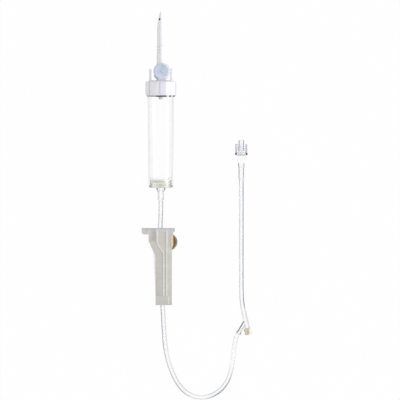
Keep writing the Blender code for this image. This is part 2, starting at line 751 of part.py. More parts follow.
def make_y_site(frame, clear, rubber):
    """The Y site: a straight barrel with a side branch, and the septum over its lower end."""
    seat_end = SEPTUM_END - SEPTUM_HEAD - GAP
    barrel = [
        (0, Y_BARREL_UP),
        (Y_BARREL_RADIUS, Y_BARREL_UP),
        (Y_BARREL_RADIUS, -SEPTUM_START + GAP),
        (SEAT_RADIUS, -SEPTUM_START + GAP),
        (SEAT_RADIUS, -seat_end),
        (0, -seat_end),
    ]
    branch = [
        (0, 0),
        (Y_BRANCH_RADIUS, 0),
        (Y_BRANCH_RADIUS, -Y_BRANCH_LENGTH + Y_BRANCH_FLARE),
        (Y_BRANCH_END_RADIUS, -Y_BRANCH_LENGTH + Y_BRANCH_FLARE / 2),
        (Y_BRANCH_END_RADIUS, -Y_BRANCH_LENGTH),
        (0, -Y_BRANCH_LENGTH),
    ]
    aside = Matrix.Rotation(-math.radians(Y_TILT + Y_BRANCH_TILT), 4, "Z") @ ALONG_Y
    branch_bore = rod(Y_BRANCH_BORE / 2, -Y_BRANCH_LENGTH - CUT_PAST, 0)
    barrel_bore = rod(TUBE_BORE / 2, -seat_end - CUT_PAST, Y_BARREL_UP + CUT_PAST)
    body = add("y_site_body", moved(turned(barrel, SMALL_SIDES), ALONG_Y), clear, frame)
    fuse(body, "y_branch", moved(turned(branch, SMALL_SIDES), aside))
    cut(body, "y_barrel_bore", moved(barrel_bore, ALONG_Y))
    cut(body, "y_branch_bore", moved(branch_bore, aside))

    plug = TUBE_BORE / 2 - GAP
    edge = SEPTUM_DIMPLE
    septum = [
        (0, -seat_end + SEPTUM_PLUG),
        (plug, -seat_end + SEPTUM_PLUG),
        (plug, -seat_end - GAP),
        (SEAT_RADIUS + GAP, -seat_end - GAP),
        (SEAT_RADIUS + GAP, -SEPTUM_START),
        (SEPTUM_RADIUS - edge, -SEPTUM_START),
        (SEPTUM_RADIUS, -SEPTUM_START - edge),
        (SEPTUM_RADIUS, -SEPTUM_END + edge),
        (SEPTUM_RADIUS - edge, -SEPTUM_END),
        (SEPTUM_DIMPLE_RADIUS + edge, -SEPTUM_END),
        (SEPTUM_DIMPLE_RADIUS, -SEPTUM_END + edge),
        (0, -SEPTUM_END + edge),
    ]
    add("y_site_septum", moved(turned(septum, SMALL_SIDES), ALONG_Y), rubber, frame)


def make_luer(frame, clear, collar_finish):
    """The male luer: cone, retaining bead, hub and tail, with a collar that turns on its neck."""
    root = CONE_TIP_RADIUS + CONE_LENGTH * CONE_TAPER
    body = [
        (LUER_BORE / 2, 0),
        (CONE_TIP_RADIUS, 0),
        (root, -CONE_LENGTH),
        (BEAD_RADIUS, -CONE_LENGTH),
        (BEAD_RADIUS, -LUER_NECK_START),
        (LUER_NECK_RADIUS, -LUER_NECK_START),
        (LUER_NECK_RADIUS, -HUB_START),
        (HUB_RADIUS, -HUB_START),
        (HUB_RADIUS, -HUB_END + HUB_SLOPE),
        (TAIL_STEP_RADIUS, -HUB_END),
        (TAIL_STEP_RADIUS, -HUB_END - TAIL_STEP_LENGTH),
        (TAIL_RADIUS, -HUB_END - TAIL_STEP_LENGTH),
        (TAIL_RADIUS, -TAIL_END),
        (LUER_BORE / 2, -TAIL_END),
    ]
    add("luer_body", moved(turned(body, SMALL_SIDES), ALONG_Y), clear, frame)
    lip = -LUER_NECK_START - GAP
    hole = LUER_NECK_RADIUS + GAP
    collar = [
        (COLLAR_BORE_RADIUS, -COLLAR_SETBACK),
        (COLLAR_RADIUS, -COLLAR_SETBACK),
        (COLLAR_RADIUS, -COLLAR_SETBACK - COLLAR_GRIP),
        (COLLAR_RADIUS + COLLAR_GRIP, -COLLAR_SETBACK - 2 * COLLAR_GRIP, "grip"),
        (COLLAR_RADIUS + COLLAR_GRIP, lip, "grip"),
        (COLLAR_RIM_RADIUS, lip),
        (COLLAR_RIM_RADIUS, lip - COLLAR_RIM_LENGTH),
        (hole + COLLAR_GRIP, -COLLAR_END),
        (hole, -COLLAR_END),
        (hole, lip),
        (COLLAR_BORE_RADIUS, lip),
    ]
    ribbed = turned(collar, SIDES, lambda step: COLLAR_GRIP * (step % 4 > 1))
    add("luer_collar", moved(ribbed, ALONG_Y), collar_finish, frame)


def smooth_route(points, step):
    """Evenly spaced points on a smooth curve through the given ones."""
    points = [Vector(point) for point in points]
    ends = [2 * points[0] - points[1]] + points + [2 * points[-1] - points[-2]]
    fine = []
    for before, start, end, after in zip(ends, ends[1:], ends[2:], ends[3:]):
        knots = [0.0]
        for a, b in ((before, start), (start, end), (end, after)):
            knots.append(knots[-1] + math.sqrt((b - a).length))
        for part in range(CURVE_SAMPLES):
            fine.append(spline_point((before, start, end, after), knots, part / CURVE_SAMPLES))
    fine.append(points[-1])
    lengths = [0.0]
    for a, b in zip(fine, fine[1:]):
        lengths.append(lengths[-1] + (b - a).length)
    count = max(2, round(lengths[-1] / step))
    route, place = [], 0
    for number in range(count + 1):
        target = lengths[-1] * number / count
        while place < len(fine) - 2 and lengths[place + 1] < target:
            place += 1
        share = (target - lengths[place]) / (lengths[place + 1] - lengths[place])
        route.append(fine[place].lerp(fine[place + 1], min(share, 1.0)))
    return route


def spline_point(points, knots, part):
    """A point between the middle two of four points, on a spline that doesn't overshoot."""
    time = knots[1] + (knots[2] - knots[1]) * part
    level = list(points)
    for width in (1, 2):
        level = [
            a.lerp(b, (time - knots[place]) / (knots[place + width] - knots[place]))
            for place, (a, b) in enumerate(zip(level, level[1:]))
        ]
    return level[0].lerp(level[1], part)


def make_tube(name, points, finish):
    """A clear tube as a curve along its route."""
    route = smooth_route(points, TUBE_STEP * TUBE_DIAMETER)
    curve = bpy.data.curves.new(name, "CURVE")
    curve.dimensions = "3D"
    curve.bevel_depth = TUBE_DIAMETER / 2
    curve.bevel_resolution = 2
    curve.use_fill_caps = True
    spline = curve.splines.new("POLY")
    spline.points.add(len(route) - 1)
    for point, place in zip(spline.points, route):
        point.co = (*place, 1)
    item = bpy.data.objects.new(name, curve)
    bpy.context.collection.objects.link(item)
    item.data.materials.append(finish)
    return item


def on_chamber_axis(along):
    """A point of the drip chamber's axis, given by its distance from the cap's rim."""
    return (0, CHAMBER_Y + along * math.cos(REST_TILT), CHAMBER_LIFT + along * math.sin(REST_TILT))


def beside_junction(distance, tilt):
    """A point on one of the Y site's axes, at the given tilt from the photograph's vertical."""
    angle = math.radians(tilt)
    x = Y_JUNCTION_X + distance * math.sin(angle)
    y = Y_JUNCTION_Y + distance * math.cos(angle)
    return (x, y, SEPTUM_RADIUS)


def supply_points():
    """The supply tube: outlet sleeve, down into the clamp, past the roller, round the loop, Y branch."""
    start = SLEEVE_END - GAP
    end = Y_BRANCH_LENGTH + GAP
    middle = [Vector(point) * MM for point in SUPPLY_ROUTE_MM]
    first = [on_chamber_axis(start), on_chamber_axis(start - TUBE_LEAD)]
    last = [beside_junction(-end - TUBE_LEAD / 2, Y_BRANCH_TILT), beside_junction(-end, Y_BRANCH_TILT)]
    return first + middle + last


def patient_points():
    """The patient tube: from the Y site's barrel up to the luer's tail."""
    start = Y_BARREL_UP + GAP
    end = LUER_TIP_Y - TAIL_END - GAP
    middle = [Vector(point) * MM for point in PATIENT_ROUTE_MM]
    first = [beside_junction(start, -Y_TILT), beside_junction(start + TUBE_LEAD / 2, -Y_TILT)]
    last = [(LUER_X, end - TUBE_LEAD, COLLAR_HEIGHT), (LUER_X, end, COLLAR_HEIGHT)]
    return first + middle + last


def make_finishes():
    """Colours and roughness as the photograph shows them."""
    return {
        "white": material("white_abs", (0.87, 0.87, 0.88), 0.35),
        "vent": material("vent_blue", (0.72, 0.79, 0.88), 0.35),
        "membrane": material("membrane_white", (0.90, 0.90, 0.88), 0.8),
        "chamber": material("clear_pvc", (0.93, 0.94, 0.95), 0.08, 0.25),
        "foot": material("clear_foot", (0.90, 0.91, 0.84), 0.12, 0.45),
        "mesh": material("filter_mesh_green", (0.74, 0.78, 0.55), 0.6, 0.8),
        "ring": material("filter_ring_green", (0.82, 0.84, 0.66), 0.4, 0.7),
        "clamp": material("clamp_grey", (0.72, 0.71, 0.68), 0.45),
        "wheel": material("wheel_amber", (0.58, 0.42, 0.18), 0.4),
        "y_site": material("clear_y_site", (0.90, 0.91, 0.93), 0.08, 0.3),
        "septum": material("septum_cream", (0.80, 0.77, 0.62), 0.6),
        "luer": material("clear_luer", (0.90, 0.91, 0.96), 0.1, 0.35),
        "collar": material("clear_collar", (0.86, 0.87, 0.95), 0.12, 0.4),
        "tube": material("clear_tube", (0.92, 0.93, 0.94), 0.1, 0.3),
    }


def main():
    clear_scene()
    finishes = make_finishes()
    chamber_frame = empty("chamber_frame", (0, CHAMBER_Y, CHAMBER_LIFT), (REST_TILT, 0, 0))
    make_spike_cap(chamber_frame, finishes["white"])
    make_vent_membrane(chamber_frame, finishes["membrane"])
    make_vent_cap(chamber_frame, finishes["vent"])
    make_drip_chamber(chamber_frame, finishes["chamber"])
    make_chamber_base(chamber_frame, finishes["foot"])
    make_filter(chamber_frame, finishes["mesh"], finishes["ring"])

    clamp_frame = empty("clamp_frame", (0, CLAMP_TOP_Y, 0))
    make_clamp_housing(clamp_frame, finishes["clamp"])
    make_clamp_wheel(clamp_frame, finishes["wheel"])

    y_place = (Y_JUNCTION_X, Y_JUNCTION_Y, SEPTUM_RADIUS)
    y_frame = empty("y_site_frame", y_place, (0, 0, math.radians(Y_TILT)))
    make_y_site(y_frame, finishes["y_site"], finishes["septum"])
    luer_frame = empty("luer_frame", (LUER_X, LUER_TIP_Y, COLLAR_HEIGHT))
    make_luer(luer_frame, finishes["luer"], finishes["collar"])

    make_tube("supply_tube", supply_points(), finishes["tube"])
    make_tube("patient_tube", patient_points(), finishes["tube"])


main()
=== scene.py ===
# The looks of an iv infusion set lying on white: a vented spike with its drip chamber,
# a roller clamp on clear tube, a Y injection site and a male luer lock with its collar.
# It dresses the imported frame, in metres, and leaves every size as it is there.

import math

import bmesh
import bpy
from mathutils import Matrix, Vector


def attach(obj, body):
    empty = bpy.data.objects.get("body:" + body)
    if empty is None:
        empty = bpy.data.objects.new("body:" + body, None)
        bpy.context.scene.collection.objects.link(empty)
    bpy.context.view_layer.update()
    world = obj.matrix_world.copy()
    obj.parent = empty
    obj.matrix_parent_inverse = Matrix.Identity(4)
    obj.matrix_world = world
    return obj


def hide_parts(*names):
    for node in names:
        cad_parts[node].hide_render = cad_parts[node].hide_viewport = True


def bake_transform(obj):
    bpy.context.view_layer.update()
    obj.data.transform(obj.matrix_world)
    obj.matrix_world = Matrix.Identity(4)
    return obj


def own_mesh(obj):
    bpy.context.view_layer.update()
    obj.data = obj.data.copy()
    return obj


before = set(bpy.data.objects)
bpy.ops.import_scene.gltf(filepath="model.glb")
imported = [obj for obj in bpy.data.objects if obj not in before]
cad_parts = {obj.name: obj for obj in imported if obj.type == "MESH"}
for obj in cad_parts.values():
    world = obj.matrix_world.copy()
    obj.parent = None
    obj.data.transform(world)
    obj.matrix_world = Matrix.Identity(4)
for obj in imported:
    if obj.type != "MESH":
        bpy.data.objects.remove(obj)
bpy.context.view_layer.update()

MM = 0.001
SET = "set"                     # the body that carries everything but the moving pieces

# Picture
PICTURE_WIDTH = 300.0 * MM
VIEW_CENTRE = (29.25 * MM, -70.35 * MM)
CAMERA_HEIGHT = 2500.0 * MM
SENSOR = 36.0
CLEAR_LAYERS = 32               # how many clear walls one line of sight may pass

# Clearances and facets
GAP = 0.3 * MM
CUT_PAST = 1.0 * MM
SIDES = 96
SMALL_SIDES = 48
TUBE_SIDES = 28
ROUNDING = 0.25 * MM
FINE_ROUNDING = 0.15 * MM
ROUND_STEPS = 3
CORNER_SHARE = 0.45             # the most that one rounded corner takes of an edge
STRAIGHT = math.radians(12)     # a corner that turns less isn't rounded
WELD = 0.0005 * MM              # points nearer than this are one
SHARP = math.radians(40)

# Tube
TUBE_RADIUS = 1.75 * MM
TUBE_BORE = 1.2 * MM
TUBE_STEP = 1.5 * MM
TUBE_LEAD = 5.0 * MM
CURVE_SAMPLES = 12
INNER_SHARE = 0.25              # how dense the bore's wall looks beside the outer one

# How dense the tubes' edges look, painted shade that stands in for light bent in the wall: share of the
# length, density, and lean to the left of its run
UPPER_SHADES = ((0.0, 0.40, -0.3), (0.5, 0.42, -0.4), (1.0, 0.40, 0.0))
PINCH_SHADES = ((0.0, 0.40, 0.0), (1.0, 0.40, 0.0))
LOWER_SHADES = ((0.0, 0.38, 0.55), (0.26, 0.36, 0.55), (0.33, 0.22, 0.40), (0.42, 0.36, 0.30),
                (0.50, 0.38, 0.40), (0.56, 0.19, 0.25), (0.61, 0.13, 0.20), (0.68, 0.60, 0.80),
                (0.76, 0.42, 0.70), (0.81, 0.16, 0.30), (0.85, 0.08, 0.0), (1.0, 0.10, 0.0))
PATIENT_SHADES = ((0.0, 0.25, 0.3), (0.06, 0.55, 0.75), (0.10, 0.42, 0.60), (0.88, 0.46, 0.66),
                  (0.96, 0.45, 0.6), (1.0, 0.45, 0.0))

# Tube routes between their ends, the same points as the solids follow, in millimetres
SUPPLY_ROUTE_MM = (
    (-0.15, -82.5, 7.4), (-0.4, -88.5, 6.1), (-0.75, -93.5, 5.8), (-1.9, -98.0, 5.8),
    (-2.6, -102.0, 5.8), (-2.4, -106.0, 5.8), (-1.7, -111.5, 5.8), (-0.7, -120.0, 5.8),
    (0.3, -130.0, 5.8), (1.1, -138.0, 5.8), (1.35, -145.0, 5.8), (1.4, -150.5, 5.7), (1.7, -156.5, 5.2),
    (2.1, -164.2, 4.0), (3.0, -177.3, 2.2), (5.3, -190.5, 1.85), (9.15, -201.0, 1.85),
    (13.4, -208.7, 1.85), (18.6, -214.2, 1.85), (24.3, -217.3, 1.85), (30.15, -218.3, 1.85),
    (35.8, -217.5, 1.85), (41.0, -215.1, 1.85), (45.9, -211.2, 1.85), (49.6, -205.9, 1.85),
    (52.2, -199.0, 1.85), (53.6, -191.5, 1.85), (54.5, -184.5, 2.0), (55.2, -178.8, 2.4),
)
PATIENT_ROUTE_MM = (
    (60.6, -145.5, 2.4), (60.25, -138.0, 2.0), (60.15, -122.0, 1.85), (60.15, -105.0, 1.85),
    (60.15, -88.0, 2.2), (60.15, -73.0, 3.4), (60.15, -65.0, 4.3),
)

# Drip chamber and spike, measured along their axis from the cap's rim
CHAMBER_TILT = math.radians(2.0154)
CHAMBER_Y = 7.7452 * MM
CHAMBER_LIFT = 11.4753 * MM
CHAMBER_TOP_RADIUS = 9.75 * MM
CHAMBER_FOOT_RADIUS = 9.1 * MM
CHAMBER_WALL = 0.9 * MM
CHAMBER_LENGTH = 66.8 * MM
CHAMBER_ENTRY = 7.4 * MM
SKIRT_HEIGHT = 10.2 * MM
SKIRT_INNER = 10.05 * MM
SKIRT_RADIUS = 11.15 * MM
RIB_RADIUS = 11.5 * MM
RIB_WIDTH = 1.3 * MM
RIB_COUNT = 8
RIB_SETBACK = 0.5 * MM
PLATEAU = 11.3 * MM
PLATEAU_RADIUS = 7.6 * MM
ROOF_INSIDE = 9.7 * MM
PLUG_OUTER = 8.55 * MM
PLUG_INNER = 7.25 * MM
PLUG_END = 4.7 * MM
NOZZLE_DROP = 2.9 * MM
NOZZLE_RADIUS = 1.6 * MM
NOZZLE_ROOT_RADIUS = 2.3 * MM
FLUID_BORE = 0.95 * MM
ROOT_RADIUS = 3.1 * MM
ROOT_TOP = 30.4 * MM
SPIKE_RADIUS = 2.85 * MM
POINT_START = 48.8 * MM
SPIKE_TIP = 62.8 * MM
POINT_SHAPE = ((1.0, 0.0), (0.86, 0.38), (0.70, 0.59), (0.46, 0.76), (0.25, 0.92), (0.10, 0.98))
SPIKE_RINGS = (31.4 * MM, 33.5 * MM, 35.7 * MM)
RING_PROUD = 0.13 * MM
RING_HALF = 0.4 * MM
EYE_RADIUS = 0.75 * MM
EYE_PLACE = 57.6 * MM
EYE_MARGIN = 0.1 * MM           # how far the bore runs past the eye
FACET_ASIDE = math.radians(-28)
FACET_LEAN = math.radians(-15)
FACET_REACH = 9.0 * MM
FACET_DEPTH = 0.25 * MM

# Bond under the skirt
BOND_FILM = 0.02 * MM
BOND_TOP = 0.5 * MM
BOND_LOW = -1.2 * MM

# Finger wings
WING_OFFSET = 7.9 * MM
WING_THICKNESS = 1.7 * MM
WING_WIDTH = 9.0 * MM
WING_HEIGHT = 9.8 * MM
WING_CORNER = 2.4 * MM

# Air vent
VENT_PLACE = 18.0 * MM
VENT_OFFSET = 0.9 * MM
VENT_BOSS_RADIUS = 5.3 * MM
VENT_FACE = 5.9 * MM
BOSS_START = 0.1 * MM           # just off the spike's axis, which keeps the fused surface closed
VENT_BORE = 4.1 * MM
VENT_POCKET = 3.9 * MM
VENT_CAP_RADIUS = 6.3 * MM
VENT_CAP_THICKNESS = 1.9 * MM
VENT_CAP_BEVEL = 1.2 * MM
VENT_PLUG_DEPTH = 0.7 * MM
VENT_PLUG_WALL = 0.8 * MM
LID_EDGE = 0.9 * MM
LID_DISH = 0.4 * MM             # how far the lid's middle lies back
BUTTON_RADIUS = 1.1 * MM        # the low rise in the lid's middle
BUTTON_SLOPE = 0.3 * MM
BUTTON_TOP = 0.15 * MM          # below the lid's face
HINGE_Y = PLATEAU + 0.95 * MM
HINGE_BEAD = 0.65 * MM
HINGE_WIDTH = 6.0 * MM
HINGE_FORWARD = 7.45 * MM
STRAP_WIDTH = 6.0 * MM
TONGUE = (-1.7 * MM, 4.9 * MM, 15.5 * MM)       # left, right and upper edge of the lid's tongue
REST_FROM = 203                 # a small lip beside the vent, a dark stand-in for the shadow under the cap's edge, in degrees around it
REST_TO = 243
REST_INNER = 5.2 * MM
REST_OUTER = 6.95 * MM
REST_LOW = 3.0 * MM
STRAP_THICKNESS = 0.5 * MM

# Chamber foot
FOOT_TOP = -67.1 * MM
FOOT_BOTTOM = -68.9 * MM
FOOT_CORNER = 1.2 * MM
SPIGOT_RADIUS = 7.9 * MM
SPIGOT_BORE = 6.7 * MM
SPIGOT_TOP = -60.8 * MM
LEDGE = -65.1 * MM
TINT_TOP = -63.4 * MM           # the foot wears the filter's painted light below this
LEDGE_RADIUS = 5.7 * MM
FUNNEL_STEP = 1.2 * MM
FLOOR_TOP = -67.9 * MM
NECK_RADIUS = 3.4 * MM
NECK_MIDDLE = -70.6 * MM
NECK_END = -72.3 * MM
SLEEVE_RADIUS = 2.4 * MM
SLEEVE_END = -78.3 * MM

# Roller clamp
CLAMP_TOP_Y = -91.35 * MM
CLAMP_THICKNESS = 11.6 * MM
FLANGE_THICKNESS = 2.85 * MM
END_BLOCK_TOP = 50.7 * MM       # below the clamp's top face
CLAMP_BEVEL = 0.16 * MM
CLAMP_BACK = -9.2 * MM          # the hook tab lies beyond this
BACK_START = -4.2 * MM          # the ramp's base stands proud of the sides beyond this
BACK_DEPTH = 2.1 * MM
FACE_REACH = 0.05 * MM
WHEEL_X = 6.1 * MM
WHEEL_START = 10.35 * MM
WHEEL_TRAVEL = 33.65 * MM
WHEEL_RADIUS = 6.4 * MM
WHEEL_HALF = 3.2 * MM
WHEEL_TEETH = 36
TOOTH_DEPTH = 0.3 * MM
WHEEL_RIM = 4.9 * MM
WHEEL_FLOOR = 1.9 * MM
WHEEL_HUB = 2.6 * MM
TRUNNION_RADIUS = 1.3 * MM
TRUNNION_END = 4.4 * MM
GLOW_FILM = (6.8 * MM, 8.85 * MM, -108.6 * MM, -94.6 * MM)    # left, right, low and high edge
FILM_GAP = 0.03 * MM
PINCH = ((-6.2, -4.8, 0.8), (-4.8, -3.4, 0.5), (-3.4, -1.6, 0.3), (-1.6, 1.6, 0.25),
         (1.6, 3.4, 0.3), (3.4, 4.8, 0.46), (4.8, 6.2, 0.66))

# Y injection site, measured from the junction along the barrel
Y_JUNCTION = (63.5 * MM, -160.8 * MM, 2.85 * MM)
Y_TILT = math.radians(12.2)
Y_BRANCH_TILT = math.radians(30.2)
Y_BARREL_RADIUS = 1.95 * MM
Y_BARREL_UP = 8.0 * MM
Y_BRANCH_RADIUS = 1.5 * MM
Y_BRANCH_END_RADIUS = 1.8 * MM
Y_BRANCH_LENGTH = 11.3 * MM
Y_BRANCH_FLARE = 2.2 * MM
Y_BRANCH_BORE = 0.9 * MM
Y_BRANCH_SHADE_START = 8.0 * MM        # past this the branch is painted in shade on its right side too
SEAT_RADIUS = 1.9 * MM
SEAT_END = 8.2 * MM
SEPTUM_RADIUS = 2.85 * MM
SEPTUM_START = 6.0 * MM
SEPTUM_END = 10.7 * MM
SEPTUM_DIMPLE_RADIUS = 1.3 * MM
SEPTUM_DIMPLE = 0.3 * MM
SEPTUM_WAIST = 0.35 * MM
SEPTUM_PLUG = 1.8 * MM          # how far its inner plug reaches into the seat
WAIST_HALF = 0.5 * MM
WAIST_SLOPE = 0.4 * MM

# Male luer lock, measured back from the cone's tip
LUER_TIP = (60.15 * MM, -25.6 * MM, 4.75 * MM)
CONE_TIP_RADIUS = 2.0 * MM
CONE_LENGTH = 8.2 * MM
CONE_ROOT_RADIUS = 2.246 * MM
LUER_BORE = 1.1 * MM
BEAD_RADIUS = 3.0 * MM
LUER_NECK_START = 9.2 * MM
LUER_NECK_RADIUS = 2.3 * MM
HUB_START = 11.7 * MM
HUB_RADIUS = 3.1 * MM
HUB_END = 17.3 * MM
HUB_SLOPE = 1.5 * MM
TAIL_STEP_RADIUS = 2.4 * MM
TAIL_STEP_LENGTH = 2.8 * MM
TAIL_RADIUS = 2.05 * MM
TAIL_END = 28.8 * MM
COLLAR_RADIUS = 4.4 * MM
COLLAR_RIM_RADIUS = 4.75 * MM
COLLAR_RIM_LENGTH = 1.5 * MM
COLLAR_SETBACK = 2.85 * MM
COLLAR_BORE = 3.7 * MM
COLLAR_LIP = 9.5 * MM
COLLAR_HOLE = 2.6 * MM
COLLAR_END = 11.4 * MM
COLLAR_GRIP = 0.2 * MM
THREAD_DEPTH = 0.3 * MM
THREAD_HALF = 0.35 * MM
THREAD_PITCH = 2.5 * MM
THREAD_CREST = 0.6              # half widths of the ridge's top and foot, as shares of THREAD_HALF
THREAD_FOOT = 1.8
THREAD_FADE = 4                 # steps in which the ridge rises at its ends
THREAD_TURNS = 1.6
THREAD_STEPS = 36               # for one turn
GRIP_COUNT = 10

# Plastics
FLOW_SCALE = 0.3                # cycles for a millimetre, as for the next two
SPECKLE_SCALE = 2.2
CLOUD_SCALE = 0.06
NOISE_RANGE = (0.3, 0.7)        # most of a noise's values lie in it
GRAIN_STRENGTH = 0.12
SKIN_DEPTH = 1.2 * MM           # how deep light goes into opaque plastic
GLOSS = 0.12                    # the most that a clear wall mirrors
WEAVE_SCALE = 0.9

# Surroundings
FLOOR_SIZE = 6.0
FLOOR_SINK = 0.05 * MM
FLOOR_GLOW = 0.965              # share of the floor that is plain white to the camera
SUN_STRENGTH = 1.05
SUN_ANGLE = math.radians(26)
SUN_TURN = (math.radians(4), math.radians(70), 0.0)
SKY_LOW = 0.75
SKY_HIGH = 0.87
SKY_SIDE = 0.13                 # how much lighter the right half of the sky is

UPRIGHT = Matrix.Rotation(math.pi / 2, 4, "X")      # turns +Y into +Z
CHAMBER_PLACE = (Matrix.Translation((0.0, CHAMBER_Y, CHAMBER_LIFT))
                 @ Matrix.Rotation(CHAMBER_TILT, 4, "X"))
CLAMP_MIDDLE = (0.0, CLAMP_TOP_Y, CLAMP_THICKNESS / 2)
Y_PLACE = Matrix.Translation(Y_JUNCTION) @ Matrix.Rotation(Y_TILT, 4, "Z")
LUER_PLACE = Matrix.Translation(LUER_TIP)


# Node helpers

def node(tree, kind, inputs=(), **settings):
    """Add a shader node; an input is a value, or the socket that feeds it."""
    result = tree.nodes.new(kind)
    for key, value in settings.items():
        setattr(result, key, value)
    for key, value in dict(inputs).items():
        if isinstance(value, bpy.types.NodeSocket):
            tree.links.new(value, result.inputs[key])
        else:
            result.inputs[key].default_value = value
    return result


def fresh_material(name):
    """A material with an empty node tree."""
    result = bpy.data.materials.new(f"look_{name}")
    result.use_nodes = True
    result.node_tree.nodes.clear()
    return result, result.node_tree


def surfaced(material, shader):
    """Lead a shader to a material's surface and return the material."""
    tree = material.node_tree
    output = tree.nodes.new("ShaderNodeOutputMaterial")
    tree.links.new(shader.outputs[0], output.inputs["Surface"])
    return material


def noise(tree, scale, detail=3.0, stretch=(1.0, 1.0, 1.0)):
    """A noise value in the object's own space; scale is in cycles for a millimetre."""
    place = node(tree, "ShaderNodeTexCoord").outputs["Object"]
    scaled = node(tree, "ShaderNodeMapping", {"Vector": place, "Scale": stretch}).outputs["Vector"]
    inputs = {"Vector": scaled, "Scale": scale / MM, "Detail": detail}
    return node(tree, "ShaderNodeTexNoise", inputs).outputs["Fac"]


def remap(tree, value, low, high, start=0.0, end=1.0, smooth=False):
    """Map a value from start..end to low..high."""
    inputs = {"Value": value, "From Min": start, "From Max": end, "To Min": low, "To Max": high}
    way = "SMOOTHSTEP" if smooth else "LINEAR"
    return node(tree, "ShaderNodeMapRange", inputs, interpolation_type=way).outputs["Result"]


def maths(tree, operation, first, second):
    """One arithmetic node."""
    return node(tree, "ShaderNodeMath", {0: first, 1: second}, operation=operation).outputs[0]


def blend_colors(tree, factor, first, second):
    """Mix two colours, each a socket or an RGB triple."""
    first = first if isinstance(first, bpy.types.NodeSocket) else (*first, 1.0)
    second = second if isinstance(second, bpy.types.NodeSocket) else (*second, 1.0)
    inputs = {0: factor, 6: first, 7: second}
    return node(tree, "ShaderNodeMix", inputs, data_type="RGBA").outputs[2]


def place_axes(tree):
    """The place on the piece, as three values in metres."""
    place = node(tree, "ShaderNodeTexCoord").outputs["Object"]
    return node(tree, "ShaderNodeSeparateXYZ", {0: place}).outputs


def along_axis(tree, axis, *stops):
    """A colour ramp along one axis; stops are (place in millimetres, colour)."""
    low, high = stops[0][0], stops[-1][0]
    part = remap(tree, place_axes(tree)[axis], 0.0, 1.0, low * MM, high * MM)
    ramp = node(tree, "ShaderNodeValToRGB", {0: part})
    elements = ramp.color_ramp.elements
    for number, (place, color) in enumerate(stops):
        position = (place - low) / (high - low)
        element = elements[number] if number < len(elements) else elements.new(position)
        element.position = position
        element.color = (*color, 1.0)
    return ramp.outputs["Color"]


def within(tree, axis, low, high, soft):
    """1 between two places on an axis and 0 beyond them, in millimetres, with soft borders."""
    value = place_axes(tree)[axis]
    rise = remap(tree, value, 0.0, 1.0, (low - soft) * MM, (low + soft) * MM, smooth=True)
    fall = remap(tree, value, 1.0, 0.0, (high - soft) * MM, (high + soft) * MM, smooth=True)
    return maths(tree, "MULTIPLY", rise, fall)


# Materials

def moulded(name, color, roughness, grain=0.02, glow=0.0, darker=0.93, paint=None, lit=0.0):
    """Opaque moulded plastic: faint flow marks, a fine grain in the gloss, light passing under the skin.

    paint(tree, color) may lay more on the plain colour; lit is the strength of a painted glow of the plain
    colour, which stands in for light through the thin wall.
    """
    result, tree = fresh_material(name)
    flow = noise(tree, FLOW_SCALE, 2.0, (0.2, 1.0, 0.2))
    speckle = noise(tree, SPECKLE_SCALE, 4.0)
    skin = paint(tree, color) if paint else color
    dark = blend_colors(tree, 1.0 - darker, skin, (0.0, 0.0, 0.0))
    inputs = {"Height": speckle, "Strength": GRAIN_STRENGTH, "Distance": grain * MM}
    bump = node(tree, "ShaderNodeBump", inputs)
    return surfaced(result, node(tree, "ShaderNodeBsdfPrincipled", {
        "Base Color": blend_colors(tree, remap(tree, flow, 0.0, 1.0, *NOISE_RANGE), dark, skin),
        "Roughness": remap(tree, speckle, roughness - 0.06, roughness + 0.08, *NOISE_RANGE),
        "Subsurface Weight": glow,
        "Subsurface Radius": (1.0, 0.9, 0.8),
        "Subsurface Scale": SKIN_DEPTH,
        "Emission Color": (*color, 1.0),
        "Emission Strength": lit,
        "Normal": bump.outputs["Normal"],
    }))


def clear(name, middle, edge, thin, thick, start, end, attribute=None, paint=None, deepen=None):
    """Clear plastic: nearly unseen face on, darker where the eye looks along the wall.

    The wall shows between two facings, start and end; an attribute may vary how dense it looks, and
    deepen gives two heights along the set between which the plain tint comes in.
    """
    result, tree = fresh_material(name)
    facing = node(tree, "ShaderNodeLayerWeight", {"Blend": 0.5}).outputs["Facing"]
    along = remap(tree, facing, 0.0, 1.0, start, end, smooth=True)
    cloud = noise(tree, CLOUD_SCALE, 2.0)
    dense = maths(tree, "MULTIPLY", along, remap(tree, cloud, 0.92, 1.08, *NOISE_RANGE))
    if attribute:
        share = node(tree, "ShaderNodeAttribute", attribute_name=attribute).outputs["Fac"]
        dense = maths(tree, "MULTIPLY", dense, share)
    if deepen:
        first, last = deepen
        height = place_axes(tree)[1]
        thin = remap(tree, height, 0.0, thin, first * MM, last * MM, smooth=True)
    wall = node(tree, "ShaderNodeBsdfPrincipled", {
        "Base Color": blend_colors(tree, along, paint(tree) if paint else middle, edge),
        "Roughness": 0.15,
        "Alpha": remap(tree, dense, thin, thick),
    })
    shine = node(tree, "ShaderNodeBsdfAnisotropic", {"Roughness": 0.05})
    fresnel = node(tree, "ShaderNodeFresnel", {"IOR": 1.46}).outputs[0]
    mirror = remap(tree, fresnel, 0.0, GLOSS, 0.0, 0.5)
    inputs = {0: mirror, 1: wall.outputs[0], 2: shine.outputs[0]}
    return surfaced(result, node(tree, "ShaderNodeMixShader", inputs))


